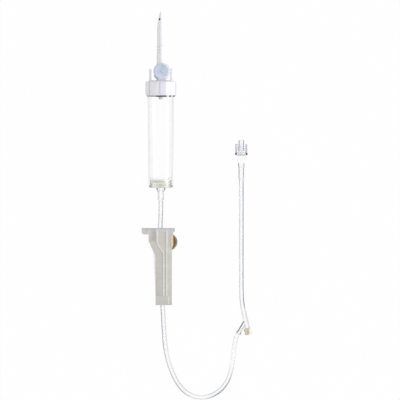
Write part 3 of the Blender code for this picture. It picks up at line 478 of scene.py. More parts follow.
def bond_shadow_material():
    """Solvent bond under the cap's skirt, with painted shadow of the gap under the skirt, darkest in a few
    places, and a faint painted gleam.
    """
    result, tree = fresh_material("bond")
    pale, grey = (0.74, 0.74, 0.77), (0.46, 0.46, 0.48)
    dark, gleam = (0.07, 0.065, 0.10), (0.22, 0.21, 0.26)
    gap_shadow = along_axis(
        tree, 0, (-11.0, pale), (-9.6, grey), (-3.8, grey), (-3.0, dark), (1.2, dark), (1.45, gleam),
        (1.8, dark), (4.0, dark), (4.8, pale), (6.0, pale), (6.6, dark), (7.5, dark), (8.1, pale),
        (8.6, pale), (9.2, dark), (10.2, dark))
    return surfaced(result, node(tree, "ShaderNodeBsdfPrincipled", {
        "Base Color": gap_shadow,
        "Roughness": remap(tree, noise(tree, 1.5), 0.15, 0.35),
    }))


def glow_material():
    """The warm light of the roller on the wall beside it, a film with soft borders."""
    result, tree = fresh_material("roller_glow")
    across, along = within(tree, 0, 7.6, 9.6, 0.7), within(tree, 1, -105.6, -96.6, 2.0)
    return surfaced(result, node(tree, "ShaderNodeBsdfPrincipled", {
        "Base Color": (0.93, 0.79, 0.56, 1.0),
        "Roughness": 0.42,
        "Alpha": maths(tree, "MULTIPLY", maths(tree, "MULTIPLY", across, along), 0.8),
    }))


def mesh_material():
    """Fine woven filter mesh."""
    result, tree = fresh_material("filter_weave")
    inputs = {"Vector": node(tree, "ShaderNodeTexCoord").outputs["Object"], "Scale": WEAVE_SCALE / MM}
    weave = [node(tree, "ShaderNodeTexWave", inputs, bands_direction=direction).outputs["Fac"]
             for direction in ("X", "Z")]
    strands = maths(tree, "MAXIMUM", *weave)
    return surfaced(result, node(tree, "ShaderNodeBsdfPrincipled", {
        "Base Color": blend_colors(tree, strands, (0.42, 0.45, 0.24), (0.66, 0.69, 0.44)),
        "Roughness": 0.6,
        "Alpha": remap(tree, strands, 0.55, 0.95),
    }))


def cap_tint_and_shade(tree, color):
    """White with painted shading: the skirt is painted greyer to the left, away from the light, with
    painted shade lines at the rib roots, and so is the spike's left half; painted shade lines lie above the
    spike's rings, and the two wings are painted in different light.
    """
    grey, lavender = (0.91, 0.90, 0.93), (0.78, 0.765, 0.865)
    plain, line = (0.90, 0.90, 0.92), (0.56, 0.55, 0.57)
    # The skirt's painted shading, with a painted shade line at the left rib's root.
    skirt = along_axis(
        tree, 0, (-11.5, plain), (-9.0, plain), (-8.5, line), (-7.9, grey), (-1.7, grey), (-0.9, lavender),
        (3.6, lavender), (4.5, plain), (8.0, plain), (8.4, lavender), (8.8, plain), (10.2, plain),
        (11.0, (0.72, 0.72, 0.77)))
    wing_left, wing_right = (0.95, 0.94, 0.965), (0.88, 0.885, 0.95)
    shade, pale, middle = (0.76, 0.76, 0.77), (0.94, 0.94, 0.94), (0.85, 0.85, 0.86)
    # The spike's painted shading: a shaded left half, and the two wings painted in different light.
    spike = along_axis(
        tree, 0, (-4.1, wing_left), (-3.8, wing_left), (-3.5, shade), (-2.7, shade), (-2.3, pale),
        (-1.6, pale), (-1.1, middle), (-0.5, middle), (0.1, (0.89, 0.87, 0.95)), (1.2, plain), (3.6, plain),
        (4.1, wing_right))
    # Painted shade lines just above each ring, on the spike's left half.
    for ring in SPIKE_RINGS:
        y = (CHAMBER_Y + ring + RING_HALF) / MM
        ring_shadow = maths(tree, "MULTIPLY", within(tree, 1, y, y + 0.2, 0.25), within(tree, 0, -3.6, 0.0, 0.4))
        spike = blend_colors(tree, ring_shadow, spike, (0.60, 0.60, 0.61))
    dressed = blend_colors(tree, within(tree, 1, 7.0, 17.7, 0.2), color, skirt)
    return blend_colors(tree, within(tree, 1, 20.0, 80.0, 0.5), dressed, spike)


def vent_tint_and_light(tree, color):
    """The vent cap's blue with painted light: a darker rim at the left, greyer in the middle, painted
    nearly white towards the right where the light falls, and lavender below.
    """
    across = along_axis(
        tree, 0, (-5.4, (0.62, 0.61, 0.69)), (-4.4, (0.68, 0.67, 0.82)), (-3.4, (0.63, 0.64, 0.87)),
        (-1.6, (0.60, 0.65, 0.82)), (0.6, (0.54, 0.64, 0.74)), (2.0, (0.52, 0.62, 0.73)),
        (3.8, (0.66, 0.71, 0.85)), (5.6, (0.77, 0.80, 0.91)), (7.2, (0.84, 0.86, 0.95)))
    low = remap(tree, place_axes(tree)[1], 0.85, 0.0, 20.5 * MM, 24.5 * MM, smooth=True)
    return blend_colors(tree, low, across, (0.76, 0.74, 0.87))


def clamp_tint_and_shade(tree, color):
    """The clamp's grey, darker along the end's lower edge, with painted shade along the flange's top edge,
    painted shading and highlights across its head, and a pale stripe on the end block.
    """
    down = along_axis(
        tree, 1, (-148.8, (0.50, 0.50, 0.47)), (-148.2, (0.58, 0.57, 0.53)), (-142.2, (0.61, 0.60, 0.565)),
        (-142.0, color), (-97.0, color), (-95.5, (0.65, 0.635, 0.615)), (-93.0, (0.665, 0.645, 0.645)),
        (-92.2, (0.58, 0.57, 0.58)), (-91.35, (0.53, 0.53, 0.54)))
    plain, bright, dull = (1.0, 1.0, 1.0), (1.14, 1.13, 1.15), (0.90, 0.90, 0.895)
    soft, shade = (0.94, 0.94, 0.94), (0.82, 0.82, 0.815)
    # Painted shading across the head, with painted highlights along the two ridges.
    across = along_axis(
        tree, 0, (-12.5, plain), (-11.8, dull), (-9.8, dull), (-8.6, plain), (-7.8, soft), (-6.2, shade),
        (-4.0, shade), (-3.2, bright), (-2.3, bright), (-1.9, plain), (3.9, plain), (4.3, bright),
        (5.0, bright), (5.4, plain))
    lit = node(tree, "ShaderNodeMix", {0: within(tree, 1, -101.0, -91.8, 1.2), 6: down, 7: across},
               data_type="RGBA", blend_type="MULTIPLY").outputs[2]
    strip = maths(tree, "MULTIPLY", within(tree, 0, 5.5, 6.4, 0.2), within(tree, 1, -148.2, -142.3, 0.2))
    return blend_colors(tree, maths(tree, "MULTIPLY", strip, 0.8), lit, (0.80, 0.80, 0.78))


def septum_tint(tree, color):
    """The septum's cream with an olive middle."""
    return along_axis(
        tree, 0, (62.3, (0.76, 0.75, 0.66)), (63.3, (0.84, 0.82, 0.71)), (64.3, (0.74, 0.71, 0.55)),
        (65.2, (0.56, 0.52, 0.36)), (66.1, (0.74, 0.70, 0.52)), (67.0, (0.90, 0.87, 0.73)),
        (68.3, (0.74, 0.74, 0.62)))


def wheel_tint_and_shade(tree, color):
    """The roller's amber with painted shadow: almost black low at the back, where the housing shades it,
    golden in the middle, paler at the front.
    """
    across = along_axis(tree, 0, (5.0, (0.14, 0.10, 0.05)), (7.4, (0.28, 0.19, 0.08)), (8.8, color),
                        (10.6, (0.44, 0.29, 0.10)), (12.0, (0.33, 0.28, 0.20)))
    x, y, z = place_axes(tree)
    low = remap(tree, y, 0.85, 0.0, -107.6 * MM, -104.0 * MM, smooth=True)
    behind = remap(tree, x, 1.0, 0.0, 8.2 * MM, 10.6 * MM, smooth=True)
    return blend_colors(tree, maths(tree, "MULTIPLY", low, behind), across, (0.10, 0.08, 0.06))


def foot_painted_light(tree):
    """The yellow-green light that the filter throws into the foot, painted in, between painted dark
    corners, with a painted highlight to the right.
    """
    dark, grey, cream = (0.03, 0.03, 0.03), (0.26, 0.26, 0.20), (0.94, 0.96, 0.80)
    high = along_axis(
        tree, 0, (-9.1, grey), (-7.0, grey), (-6.2, cream), (-2.6, (0.84, 0.86, 0.70)),
        (-0.8, (0.76, 0.78, 0.58)), (2.0, (0.80, 0.82, 0.64)), (4.0, cream), (5.4, (0.98, 0.98, 0.94)),
        (6.6, (0.56, 0.57, 0.56)), (9.1, grey))
    deep = along_axis(
        tree, 0, (-9.1, dark), (-7.2, (0.06, 0.06, 0.05)), (-6.2, (0.80, 0.81, 0.68)),
        (-3.6, (0.92, 0.94, 0.74)), (-0.8, (0.52, 0.55, 0.28)), (1.8, (0.68, 0.70, 0.46)), (4.0, cream),
        (6.2, (0.78, 0.79, 0.72)), (7.2, (0.08, 0.08, 0.08)), (9.1, dark))
    low = remap(tree, place_axes(tree)[1], 1.0, 0.0, -60.2 * MM, -57.4 * MM, smooth=True)
    return blend_colors(tree, low, high, deep)


def ring_tint(tree, color):
    """The filter ring's cream with an olive middle."""
    cream = (0.93, 0.94, 0.84)
    return along_axis(tree, 0, (-7.0, cream), (-4.0, (0.86, 0.88, 0.74)), (-1.6, color),
                      (0.8, (0.82, 0.84, 0.64)), (3.0, color), (5.0, cream))


# White ABS with the cap's painted shading.
WHITE = moulded("white_abs", (0.84, 0.83, 0.87), 0.34, glow=0.15, darker=0.95, paint=cap_tint_and_shade)
# A dark grey that paints shade into the bore and onto the drop nozzle.
NOZZLE_SHADE = moulded("nozzle_shade", (0.24, 0.24, 0.26), 0.5)
REST_SHADOW = moulded("rest_shade", (0.38, 0.38, 0.40), 0.5)
EYE_SHADE = moulded("eye_shade", (0.20, 0.20, 0.21), 0.6)
VENT_BLUE = moulded("vent_blue", (0.60, 0.66, 0.78), 0.32, glow=0.2, darker=0.96, paint=vent_tint_and_light)
# A paler copy of the vent's blue: a painted highlight on the lid's chamfer.
VENT_HIGHLIGHT = moulded("vent_highlight", (0.67, 0.73, 0.83), 0.32, glow=0.2, darker=0.96)
MEMBRANE = moulded("membrane", (0.88, 0.88, 0.86), 0.8, grain=0.05)
CLAMP_GREY = moulded("clamp_grey", (0.64, 0.62, 0.585), 0.42, grain=0.03, glow=0.1, paint=clamp_tint_and_shade)
# A paler copy of the clamp's grey: a painted highlight for the ridges.
RIDGE_HIGHLIGHT = moulded("ridge_highlight", (0.80, 0.79, 0.76), 0.32, glow=0.1)
# A pale grey that glows: painted light on the ramp's back, which lies in shade.
BACK_GLOW = moulded("back_glow", (0.82, 0.78, 0.85), 0.4, glow=0.2, lit=0.28)
AMBER = moulded("wheel_amber", (0.40, 0.25, 0.07), 0.3, grain=0.03, glow=0.1, darker=0.8, paint=wheel_tint_and_shade)
SEPTUM = moulded("septum_cream", (0.76, 0.72, 0.52), 0.55, glow=0.1, darker=0.9, paint=septum_tint)
# The filter ring glows faintly: painted light.
FILTER_RING = moulded("filter_ring", (0.88, 0.90, 0.75), 0.4, glow=0.3, paint=ring_tint, lit=0.12)
FILTER_MESH = mesh_material()
ROLLER_GLOW = glow_material()
# The bond ring's material: painted shadow of the gap under the skirt.
BOND_SHADOW = bond_shadow_material()
PVC = clear("clear_pvc", (0.90, 0.90, 0.92), (0.30, 0.29, 0.33), 0.0, 0.60, 0.66, 0.88)
# The tube's edges take their painted shade from the wall attribute.
TUBE = clear("clear_tube", (0.50, 0.72, 0.95), (0.095, 0.11, 0.135), 0.02, 0.75, 0.06, 0.34,
             attribute="painted_wall_shade")
FOOT = clear("clear_foot", (0.80, 0.82, 0.68), (0.22, 0.23, 0.17), 0.38, 0.55, 0.38, 0.72, paint=foot_painted_light,
             deepen=(-53.0, -59.0))
SPIGOT = clear("clear_spigot", (0.85, 0.84, 0.92), (0.45, 0.45, 0.46), 0.02, 0.13, 0.45, 0.85)
NECK = clear("clear_neck", (0.88, 0.90, 0.92), (0.13, 0.13, 0.15), 0.02, 0.55, 0.05, 0.40)
SLEEVE = clear("clear_sleeve", (0.88, 0.90, 0.92), (0.34, 0.34, 0.37), 0.02, 0.30, 0.05, 0.40)
Y_CLEAR = clear("clear_y_site", (0.88, 0.88, 0.94), (0.36, 0.32, 0.40), 0.02, 0.25, 0.05, 0.36)
# A darker-edged copy of the Y site's clear plastic: painted shade on one side of the branch.
Y_SHADED_CLEAR = clear("clear_y_branch_shade", (0.88, 0.88, 0.94), (0.04, 0.035, 0.075), 0.03, 0.78, 0.10, 0.36)
LUER_CLEAR = clear("clear_luer", (0.84, 0.88, 0.95), (0.12, 0.12, 0.14), 0.02, 0.50, 0.08, 0.40)
HUB_CLEAR = clear("clear_hub", (0.84, 0.88, 0.95), (0.55, 0.57, 0.62), 0.02, 0.22, 0.30, 0.90)
COLLAR_CLEAR = clear("clear_collar", (0.72, 0.76, 0.96), (0.26, 0.24, 0.34), 0.07, 0.36, 0.28, 0.60)
THREAD_CLEAR = clear("clear_thread", (0.60, 0.60, 0.80), (0.44, 0.44, 0.58), 0.03, 0.10, 0.20, 0.80)
RIM_CLEAR = clear("clear_rim", (0.72, 0.72, 0.92), (0.012, 0.012, 0.02), 0.085, 0.92, 0.20, 0.38)


# Mesh helpers

def placed(name, data):
    """A new object in the scene for a mesh, camera or lamp."""
    item = bpy.data.objects.new(name, data)
    bpy.context.collection.objects.link(item)
    return item


def plain_object(name, mesh):
    """An object from a bmesh, which is used up."""
    bmesh.ops.recalc_face_normals(mesh, faces=mesh.faces)
    data = bpy.data.meshes.new(name)
    mesh.to_mesh(data)
    mesh.free()
    return placed(name, data)


def piece(name, mesh, material, body=SET, place=None, replaces=()):
    """Make a bmesh into a shaded piece that rides on a body and may stand for CAD nodes."""
    if place is not None:
        mesh.transform(place)
    bmesh.ops.remove_doubles(mesh, verts=mesh.verts, dist=WELD)
    bmesh.ops.dissolve_degenerate(mesh, edges=mesh.edges, dist=WELD)
    item = plain_object(name, mesh)
    item.data.shade_smooth()
    item.data.set_sharp_from_angle(angle=SHARP)
    item.data.materials.append(material)
    if body:
        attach(item, body)
    if replaces:
        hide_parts(*replaces)
    return item


def painted(item, extras, choose):
    """Give a piece more materials; choose(face) is the number of the one that a face wears."""
    for extra in extras:
        item.data.materials.append(extra)
    for face in item.data.polygons:
        face.material_index = choose(face)


def dress_node(name, material):
    """Give a node of the CAD model its material."""
    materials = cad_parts[name].data.materials
    materials.clear()
    materials.append(material)


def rounded(outline, radius=ROUNDING, steps=ROUND_STEPS):
    """Round the corners of a closed outline of (radius, height) points, apart from those on the axis."""
    result = []
    for place, point in enumerate(outline):
        here = Vector(point)
        before = Vector(outline[place - 1]) - here
        after = Vector(outline[(place + 1) % len(outline)]) - here
        turn = math.pi - before.angle(after)
        if point[0] == 0 or turn < STRAIGHT:
            result.append(tuple(here))
            continue
        longest = CORNER_SHARE * min(before.length, after.length)
        reach = min(radius * math.tan(turn / 2), longest)
        start = here + before.normalized() * reach
        end = here + after.normalized() * reach
        for step in range(steps + 1):
            part = step / steps
            result.append(tuple(start.lerp(here, part).lerp(here.lerp(end, part), part)))
    return result


def join_rings(mesh, low, high):
    """Bridge two rings of points; a ring of one point closes to a fan."""
    count = max(len(low), len(high))
    if count == 1:
        return
    for step in range(count):
        after = (step + 1) % count
        if len(low) == 1:
            mesh.faces.new((low[0], high[after], high[step]))
        elif len(high) == 1:
            mesh.faces.new((low[step], low[after], high[0]))
        else:
            mesh.faces.new((low[step], low[after], high[after], high[step]))


def turned(outline, sides=SIDES, wave=None):
    """Turn a closed outline of (radius, height) points about Y; wave(angle, radius) lowers a radius."""
    mesh = bmesh.new()
    rings = []
    for radius, height in outline:
        ring = []
        for step in range(sides if radius else 1):
            angle = math.tau * step / sides
            reach = radius - (wave(angle, radius) if wave else 0)
            ring.append(mesh.verts.new((reach * math.cos(angle), height, -reach * math.sin(angle))))
        rings.append(ring)
    for low, high in zip(rings, rings[1:] + rings[:1]):
        join_rings(mesh, low, high)
    return mesh


def rod(radius, low, high, sides=SMALL_SIDES):
    """A plain cylinder along Y."""
    return turned([(0, low), (radius, low), (radius, high), (0, high)], sides)


def prism(outline, low, high):
    """Extrude a closed outline of (x, y) points along Z."""
    mesh = bmesh.new()
    bottom, top = [[mesh.verts.new((x, y, z)) for x, y in outline] for z in (low, high)]
    mesh.faces.new(bottom)
    mesh.faces.new(top)
    join_rings(mesh, bottom, top)
    return mesh


def block(left, right, low, high, back, front):
    """A box between two places on each axis."""
    return prism([(left, low), (right, low), (right, high), (left, high)], back, front)


def quarter_turn(steps):
    """Angles from 0 to a right angle."""
    return [math.pi / 2 * step / steps for step in range(steps + 1)]


def softened(mesh, width=ROUNDING, segments=2):
    """Round a bmesh's sharp edges."""
    bmesh.ops.recalc_face_normals(mesh, faces=mesh.faces)
    sharp = [edge for edge in mesh.edges if len(edge.link_faces) == 2
             and edge.calc_face_angle() > SHARP]
    bmesh.ops.bevel(mesh, geom=sharp, offset=width, segments=segments, profile=0.5,
                    affect="EDGES", clamp_overlap=True)
    return mesh


def turned_by(mesh, matrix):
    """Apply a matrix to a bmesh and return it."""
    mesh.transform(matrix)
    return mesh


def carved(base, steps):
    """Fuse solids to a bmesh or cut them away; steps are (UNION or DIFFERENCE, bmesh)."""
    target = plain_object("carving", base)
    helpers = []
    for operation, mesh in steps:
        helper = plain_object("tool", mesh)
        step = target.modifiers.new("step", "BOOLEAN")
        step.operation = operation
        step.solver = "EXACT"
        step.object = helper
        helpers.append(helper)
    evaluated = target.evaluated_get(bpy.context.evaluated_depsgraph_get())
    result = bmesh.new()
    result.from_mesh(evaluated.to_mesh())
    evaluated.to_mesh_clear()
    for item in [target, *helpers]:
        data = item.data
        bpy.data.objects.remove(item)
        bpy.data.meshes.remove(data)
    return result


# Camera, light and floor

def make_camera():
    """Straight above the set, with a long lens."""
    data = bpy.data.cameras.new("camera")
    data.sensor_width = SENSOR
    data.lens = SENSOR * CAMERA_HEIGHT / PICTURE_WIDTH
    data.clip_end = 10 * CAMERA_HEIGHT
    camera = placed("camera", data)
    camera.location = (*VIEW_CENTRE, CAMERA_HEIGHT)
    bpy.context.scene.camera = camera


def seen_directly(tree):
    """1 for rays of the camera and for those that gloss or glass sends on, otherwise 0."""
    path = node(tree, "ShaderNodeLightPath").outputs
    mirrored = maths(tree, "MAXIMUM", path["Is Glossy Ray"], path["Is Transmission Ray"])
    return maths(tree, "MAXIMUM", path["Is Camera Ray"], mirrored)


def make_sky():
    """A soft sky, lighter above and to the right; white to the camera."""
    world = bpy.data.worlds.new("sky")
    bpy.context.scene.world = world
    world.use_nodes = True
    tree = world.node_tree
    tree.nodes.clear()
    place = node(tree, "ShaderNodeTexCoord").outputs["Generated"]
    apart = node(tree, "ShaderNodeSeparateXYZ", {0: place}).outputs
    side = maths(tree, "MULTIPLY", apart["X"], SKY_SIDE)
    level = maths(tree, "ADD", remap(tree, apart["Z"], SKY_LOW, SKY_HIGH), side)
    white = (1.0, 1.0, 1.0, 1.0)
    light, plain = [node(tree, "ShaderNodeBackground", {"Color": white, "Strength": strength})
                    for strength in (level, 1.0)]
    inputs = {0: seen_directly(tree), 1: light.outputs[0], 2: plain.outputs[0]}
    both = node(tree, "ShaderNodeMixShader", inputs)
    node(tree, "ShaderNodeOutputWorld", {"Surface": both.outputs[0]})


def make_sun():
    """A wide soft lamp from the upper right."""
    data = bpy.data.lights.new("soft_lamp", "SUN")
    data.energy = SUN_STRENGTH
    data.angle = SUN_ANGLE
    placed("soft_lamp", data).rotation_euler = SUN_TURN


def make_floor():
    """A plain white floor that keeps a faint shadow."""
    material, tree = fresh_material("floor_white")
    paper = node(tree, "ShaderNodeBsdfDiffuse", {"Color": (0.9, 0.9, 0.9, 1.0)})
    glow = node(tree, "ShaderNodeEmission", {"Strength": 1.0})
    share = maths(tree, "MULTIPLY", seen_directly(tree), FLOOR_GLOW)
    inputs = {0: share, 1: paper.outputs[0], 2: glow.outputs[0]}
    surfaced(material, node(tree, "ShaderNodeMixShader", inputs))
    half = FLOOR_SIZE / 2
    mesh = bmesh.new()
    corners = ((-half, -half), (half, -half), (half, half), (-half, half))
    mesh.faces.new([mesh.verts.new((x, y, -FLOOR_SINK)) for x, y in corners])
    floor = piece("floor", mesh, material, body=None)


# Tubes

def spline_point(points, knots, part):
    """A point between the middle two of four points, on a spline that doesn't overshoot."""
    time = knots[1] + (knots[2] - knots[1]) * part
    level = list(points)
    for width in (1, 2):
        level = [
            a.lerp(b, (time - knots[place]) / (knots[place + width] - knots[place]))
            for place, (a, b) in enumerate(zip(level, level[1:]))
        ]
    return level[0].lerp(level[1], part)


def smooth_route(points):
    """A fine line on a smooth curve through the given points."""
    points = [Vector(point) for point in points]
    ends = [2 * points[0] - points[1]] + points + [2 * points[-1] - points[-2]]
    fine = []
    for before, start, end, after in zip(ends, ends[1:], ends[2:], ends[3:]):
        knots = [0.0]
        for a, b in ((before, start), (start, end), (end, after)):
            knots.append(knots[-1] + math.sqrt((b - a).length))
        for part in range(CURVE_SAMPLES):
            fine.append(spline_point((before, start, end, after), knots, part / CURVE_SAMPLES))
    fine.append(points[-1])
    return fine


def evenly(line, step):
    """The same line with points at an even spacing."""
    lengths = [0.0]
    for a, b in zip(line, line[1:]):
        lengths.append(lengths[-1] + (b - a).length)
    count = max(2, round(lengths[-1] / step))
    route, place = [], 0
    for number in range(count + 1):
        target = lengths[-1] * number / count
        while place < len(line) - 2 and lengths[place + 1] < target:
            place += 1
        share = (target - lengths[place]) / (lengths[place + 1] - lengths[place])
        route.append(line[place].lerp(line[place + 1], min(share, 1.0)))
    return route


def stretch_between(line, high_y, low_y):
    """The stretch of a line that falls from one y to a lower one, with exact ends."""
    result = []
    for a, b in zip(line, line[1:]):
        for y in (high_y, low_y):
            if a.y >= y > b.y:
                result.append(a.lerp(b, (a.y - y) / (a.y - b.y)))
        if low_y < b.y < high_y:
            result.append(b)
    return result


def tone_at(shades, share):
    """The density and the lean to one side at a share of a tube's length."""
    for (start, *first), (end, *last) in zip(shades, shades[1:]):
        if share <= end:
            part = (share - start) / (end - start)
            return [a + (b - a) * part for a, b in zip(first, last)]
    return shades[-1][1:]


def swept(line, ends, shades):
    """A hollow tube round a line of points, with an annulus at each end that is asked for."""
    mesh = bmesh.new()
    layer = mesh.verts.layers.float.new("painted_wall_shade")
    side = Vector((0, 0, 1))
    outer, inner = [], []
    for place, point in enumerate(line):
        dense, lean = tone_at(shades, place / (len(line) - 1))
        ahead = (line[min(place + 1, len(line) - 1)] - line[max(place - 1, 0)]).normalized()
        side = (side - ahead * side.dot(ahead)).normalized()
        other = ahead.cross(side)
        for rings, radius, share in ((outer, TUBE_RADIUS, 1.0), (inner, TUBE_BORE, INNER_SHARE)):
            ring = []
            for step in range(TUBE_SIDES):
                angle = math.tau * step / TUBE_SIDES
                offset = side * math.cos(angle) + other * math.sin(angle)
                vert = mesh.verts.new(point + offset * radius)
                # The lean paints one side of the edge darker than the other: painted shade.
                vert[layer] = share * dense * (1.0 + lean * math.sin(angle))
                ring.append(vert)
            rings.append(ring)
    for low, high in zip(outer, outer[1:]):
        join_rings(mesh, low, high)
    for low, high in zip(inner, inner[1:]):
        join_rings(mesh, high, low)
    if ends[0]:
        join_rings(mesh, inner[0], outer[0])
    if ends[1]:
        join_rings(mesh, outer[-1], inner[-1])
    return mesh


def on_chamber_axis(along):
    """A point of the drip chamber's axis, given by its distance from the cap's rim."""
    return CHAMBER_PLACE @ Vector((0, along, 0))


def beside_junction(distance, tilt):
    """A point on one of the Y site's axes, at the given tilt from the picture's vertical."""
    aside = Vector((math.sin(tilt), math.cos(tilt), 0))
    return Vector(Y_JUNCTION) + distance * aside


def supply_line():
    """The supply tube's centre line, from the chamber's outlet sleeve to the Y site's branch."""
    start = SLEEVE_END - GAP
    end = Y_BRANCH_LENGTH + GAP
    first = [on_chamber_axis(start), on_chamber_axis(start - TUBE_LEAD)]
    middle = [Vector(point) * MM for point in SUPPLY_ROUTE_MM]
    last = [beside_junction(-end - TUBE_LEAD / 2, Y_BRANCH_TILT), beside_junction(-end, Y_BRANCH_TILT)]
    return smooth_route(first + middle + last)


def patient_line():
    """The patient tube's centre line, from the Y site's barrel to the luer's tail."""
    start = Y_BARREL_UP + GAP
    x, y, z = LUER_TIP
    end = y - TAIL_END - GAP
    first = [beside_junction(start, -Y_TILT), beside_junction(start + TUBE_LEAD / 2, -Y_TILT)]
    middle = [Vector(point) * MM for point in PATIENT_ROUTE_MM]
    last = [Vector((x, end - TUBE_LEAD, z)), Vector((x, end, z))]
    return smooth_route(first + middle + last)


def tube_cord(name, line, ends, node_name, shades):
    """A length of tube that stands for a node of the model."""
    route = evenly(line, TUBE_STEP)
    tube = piece(name, swept(route, ends, shades), TUBE, replaces=[node_name])
    return tube


def make_tubes():
    """Both tubes; the supply tube is cut into short stretches around where the closed roller stands."""
    line = supply_line()
    shut_y = CLAMP_TOP_Y - WHEEL_START - WHEEL_TRAVEL
    high = shut_y - PINCH[0][0] * MM
    low = shut_y - PINCH[-1][1] * MM
    for number, (first, last, keep) in enumerate(PINCH):
        part = stretch_between(line, shut_y - first * MM, shut_y - last * MM)
        part = swept(part, (False, False), PINCH_SHADES)
        squeezed = piece(f"pinch_{number}", part, TUBE, replaces=["supply_tube"])
        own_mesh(squeezed)
    above = stretch_between(line, line[0].y, high)
    after = next(place for place, point in enumerate(line) if point.y < low)
    a, b = line[after - 1], line[after]
    below = [a.lerp(b, (a.y - low) / (a.y - b.y))] + line[after:]
    tube_cord("supply_tube_upper", above, (True, False), "supply_tube", UPPER_SHADES)
    tube_cord("supply_tube_lower", below, (False, True), "supply_tube", LOWER_SHADES)
    tube_cord("patient_tube_clear", patient_line(), (True, True), "patient_tube", PATIENT_SHADES)


# Spike, cap and chamber

def spike_profile():
    """The spike cap's turned outline: out at the rim, up to the tip, then back inside."""
    skirt = rounded([
        (PLUG_INNER, ROOF_INSIDE), (PLUG_INNER, PLUG_END), (PLUG_OUTER, PLUG_END),
        (PLUG_OUTER, ROOF_INSIDE), (SKIRT_INNER, ROOF_INSIDE), (SKIRT_INNER, 0), (SKIRT_RADIUS, 0),
        (SKIRT_RADIUS, SKIRT_HEIGHT), (PLATEAU_RADIUS, PLATEAU), (ROOT_RADIUS, PLATEAU),
        (ROOT_RADIUS, ROOT_TOP), (SPIKE_RADIUS, ROOT_TOP + RING_HALF),
    ], radius=0.35 * MM)
    proud = SPIKE_RADIUS + RING_PROUD
    rings = [(radius, middle + halves * RING_HALF) for middle in SPIKE_RINGS
             for radius, halves in ((SPIKE_RADIUS, 0.5), (proud, 1), (proud, 1.5), (SPIKE_RADIUS, 2))]
    reach = SPIKE_TIP - POINT_START
    point = [(SPIKE_RADIUS * wide, POINT_START + reach * along) for wide, along in POINT_SHAPE]
    nozzle = rounded([
        (0, SPIKE_TIP), (0, -NOZZLE_DROP), (NOZZLE_RADIUS, -NOZZLE_DROP),
        (NOZZLE_ROOT_RADIUS, ROOF_INSIDE),
    ])
    return skirt + rings + point + nozzle


def wing(side):
    """One upright finger wing with a rounded rim."""
    half = WING_WIDTH / 2
    arc = [(half - WING_CORNER * (1 - math.cos(angle)), WING_HEIGHT - WING_CORNER * (1 - math.sin(angle)))
           for angle in quarter_turn(6)]
    outline = [(-half, 0), (half, 0)] + arc + [(-x, y) for x, y in reversed(arc)]
    inner = WING_OFFSET - WING_THICKNESS / 2
    upright = Matrix(((0, 0, side, 0), (0, 1, 0, SKIRT_HEIGHT), (1, 0, 0, 0), (0, 0, 0, 1)))
    return turned_by(softened(prism(outline, inner, inner + WING_THICKNESS), width=0.3 * MM), upright)


def rib(number):
    """One grip rib of the skirt."""
    bar = block(SKIRT_RADIUS - GAP, RIB_RADIUS, RIB_SETBACK, SKIRT_HEIGHT - RIB_SETBACK, -RIB_WIDTH / 2,
                RIB_WIDTH / 2)
    return turned_by(softened(bar, FINE_ROUNDING), Matrix.Rotation(math.tau * number / RIB_COUNT, 4, "Y"))


def towards_front(mesh):
    """Turn a piece that stands along Y towards the front of the chamber, over the vent's axis."""
    return turned_by(mesh, Matrix.Translation((VENT_OFFSET, VENT_PLACE, 0)) @ UPRIGHT)


def make_spike():
    """Spike, vent boss, wings, ribbed skirt and drop nozzle: one white moulding."""
    boss = rounded([
        (0, BOSS_START), (VENT_BOSS_RADIUS, BOSS_START), (VENT_BOSS_RADIUS, VENT_FACE),
        (VENT_BORE, VENT_FACE), (VENT_BORE, VENT_POCKET), (0, VENT_POCKET),
    ], radius=0.2 * MM)
    aside = Matrix.Rotation(FACET_ASIDE, 4, "Y")
    wide = 2 * SPIKE_RADIUS
    lean = Matrix.Translation((0, SPIKE_TIP, 0)) @ Matrix.Rotation(FACET_LEAN, 4, "X")
    facet = turned_by(block(-wide, wide, -FACET_REACH, FACET_REACH / 3, FACET_DEPTH, FACET_REACH),
                      aside @ lean)
    eye_height = Matrix.Translation((0, EYE_PLACE - EYE_RADIUS, 0))
    eye = turned_by(rod(EYE_RADIUS, 0, SPIKE_RADIUS), aside @ eye_height @ UPRIGHT)
    steps = [("UNION", rib(number)) for number in range(RIB_COUNT)]
    steps += [("UNION", wing(side)) for side in (-1, 1)]
    steps += [
        ("UNION", towards_front(turned(boss, SMALL_SIDES))),
        ("DIFFERENCE", facet),
        ("DIFFERENCE", rod(FLUID_BORE, -NOZZLE_DROP - CUT_PAST, EYE_PLACE + EYE_MARGIN)),
        ("DIFFERENCE", eye),
    ]
    item = piece("spike_white", carved(turned(spike_profile()), steps), WHITE, place=CHAMBER_PLACE,
                 replaces=["spike_cap"])
    back = CHAMBER_PLACE.inverted()
    eye_axis = aside @ Vector((0, 0, 1))

    def shade_of(face):
        """2 for the eye's walls, and 1 in the bore and the nozzle; both wear painted shade."""
        center = back @ face.center
        away = math.hypot(center.x, center.z)
        in_bore = away < FLUID_BORE + FACE_REACH
        from_eye = center - Vector((0, EYE_PLACE - EYE_RADIUS, 0))
        off_axis = (from_eye - eye_axis * from_eye.dot(eye_axis)).length
        outward = abs((back.to_3x3() @ face.normal).dot(eye_axis))
        if off_axis < EYE_RADIUS + FACE_REACH and (outward < 0.5 or in_bore):
            return 2
        below_eye = center.y < EYE_PLACE + EYE_MARGIN + FACE_REACH
        return int(below_eye and in_bore or center.y < 0 and away < NOZZLE_ROOT_RADIUS)

    painted(item, (NOZZLE_SHADE, EYE_SHADE), shade_of)


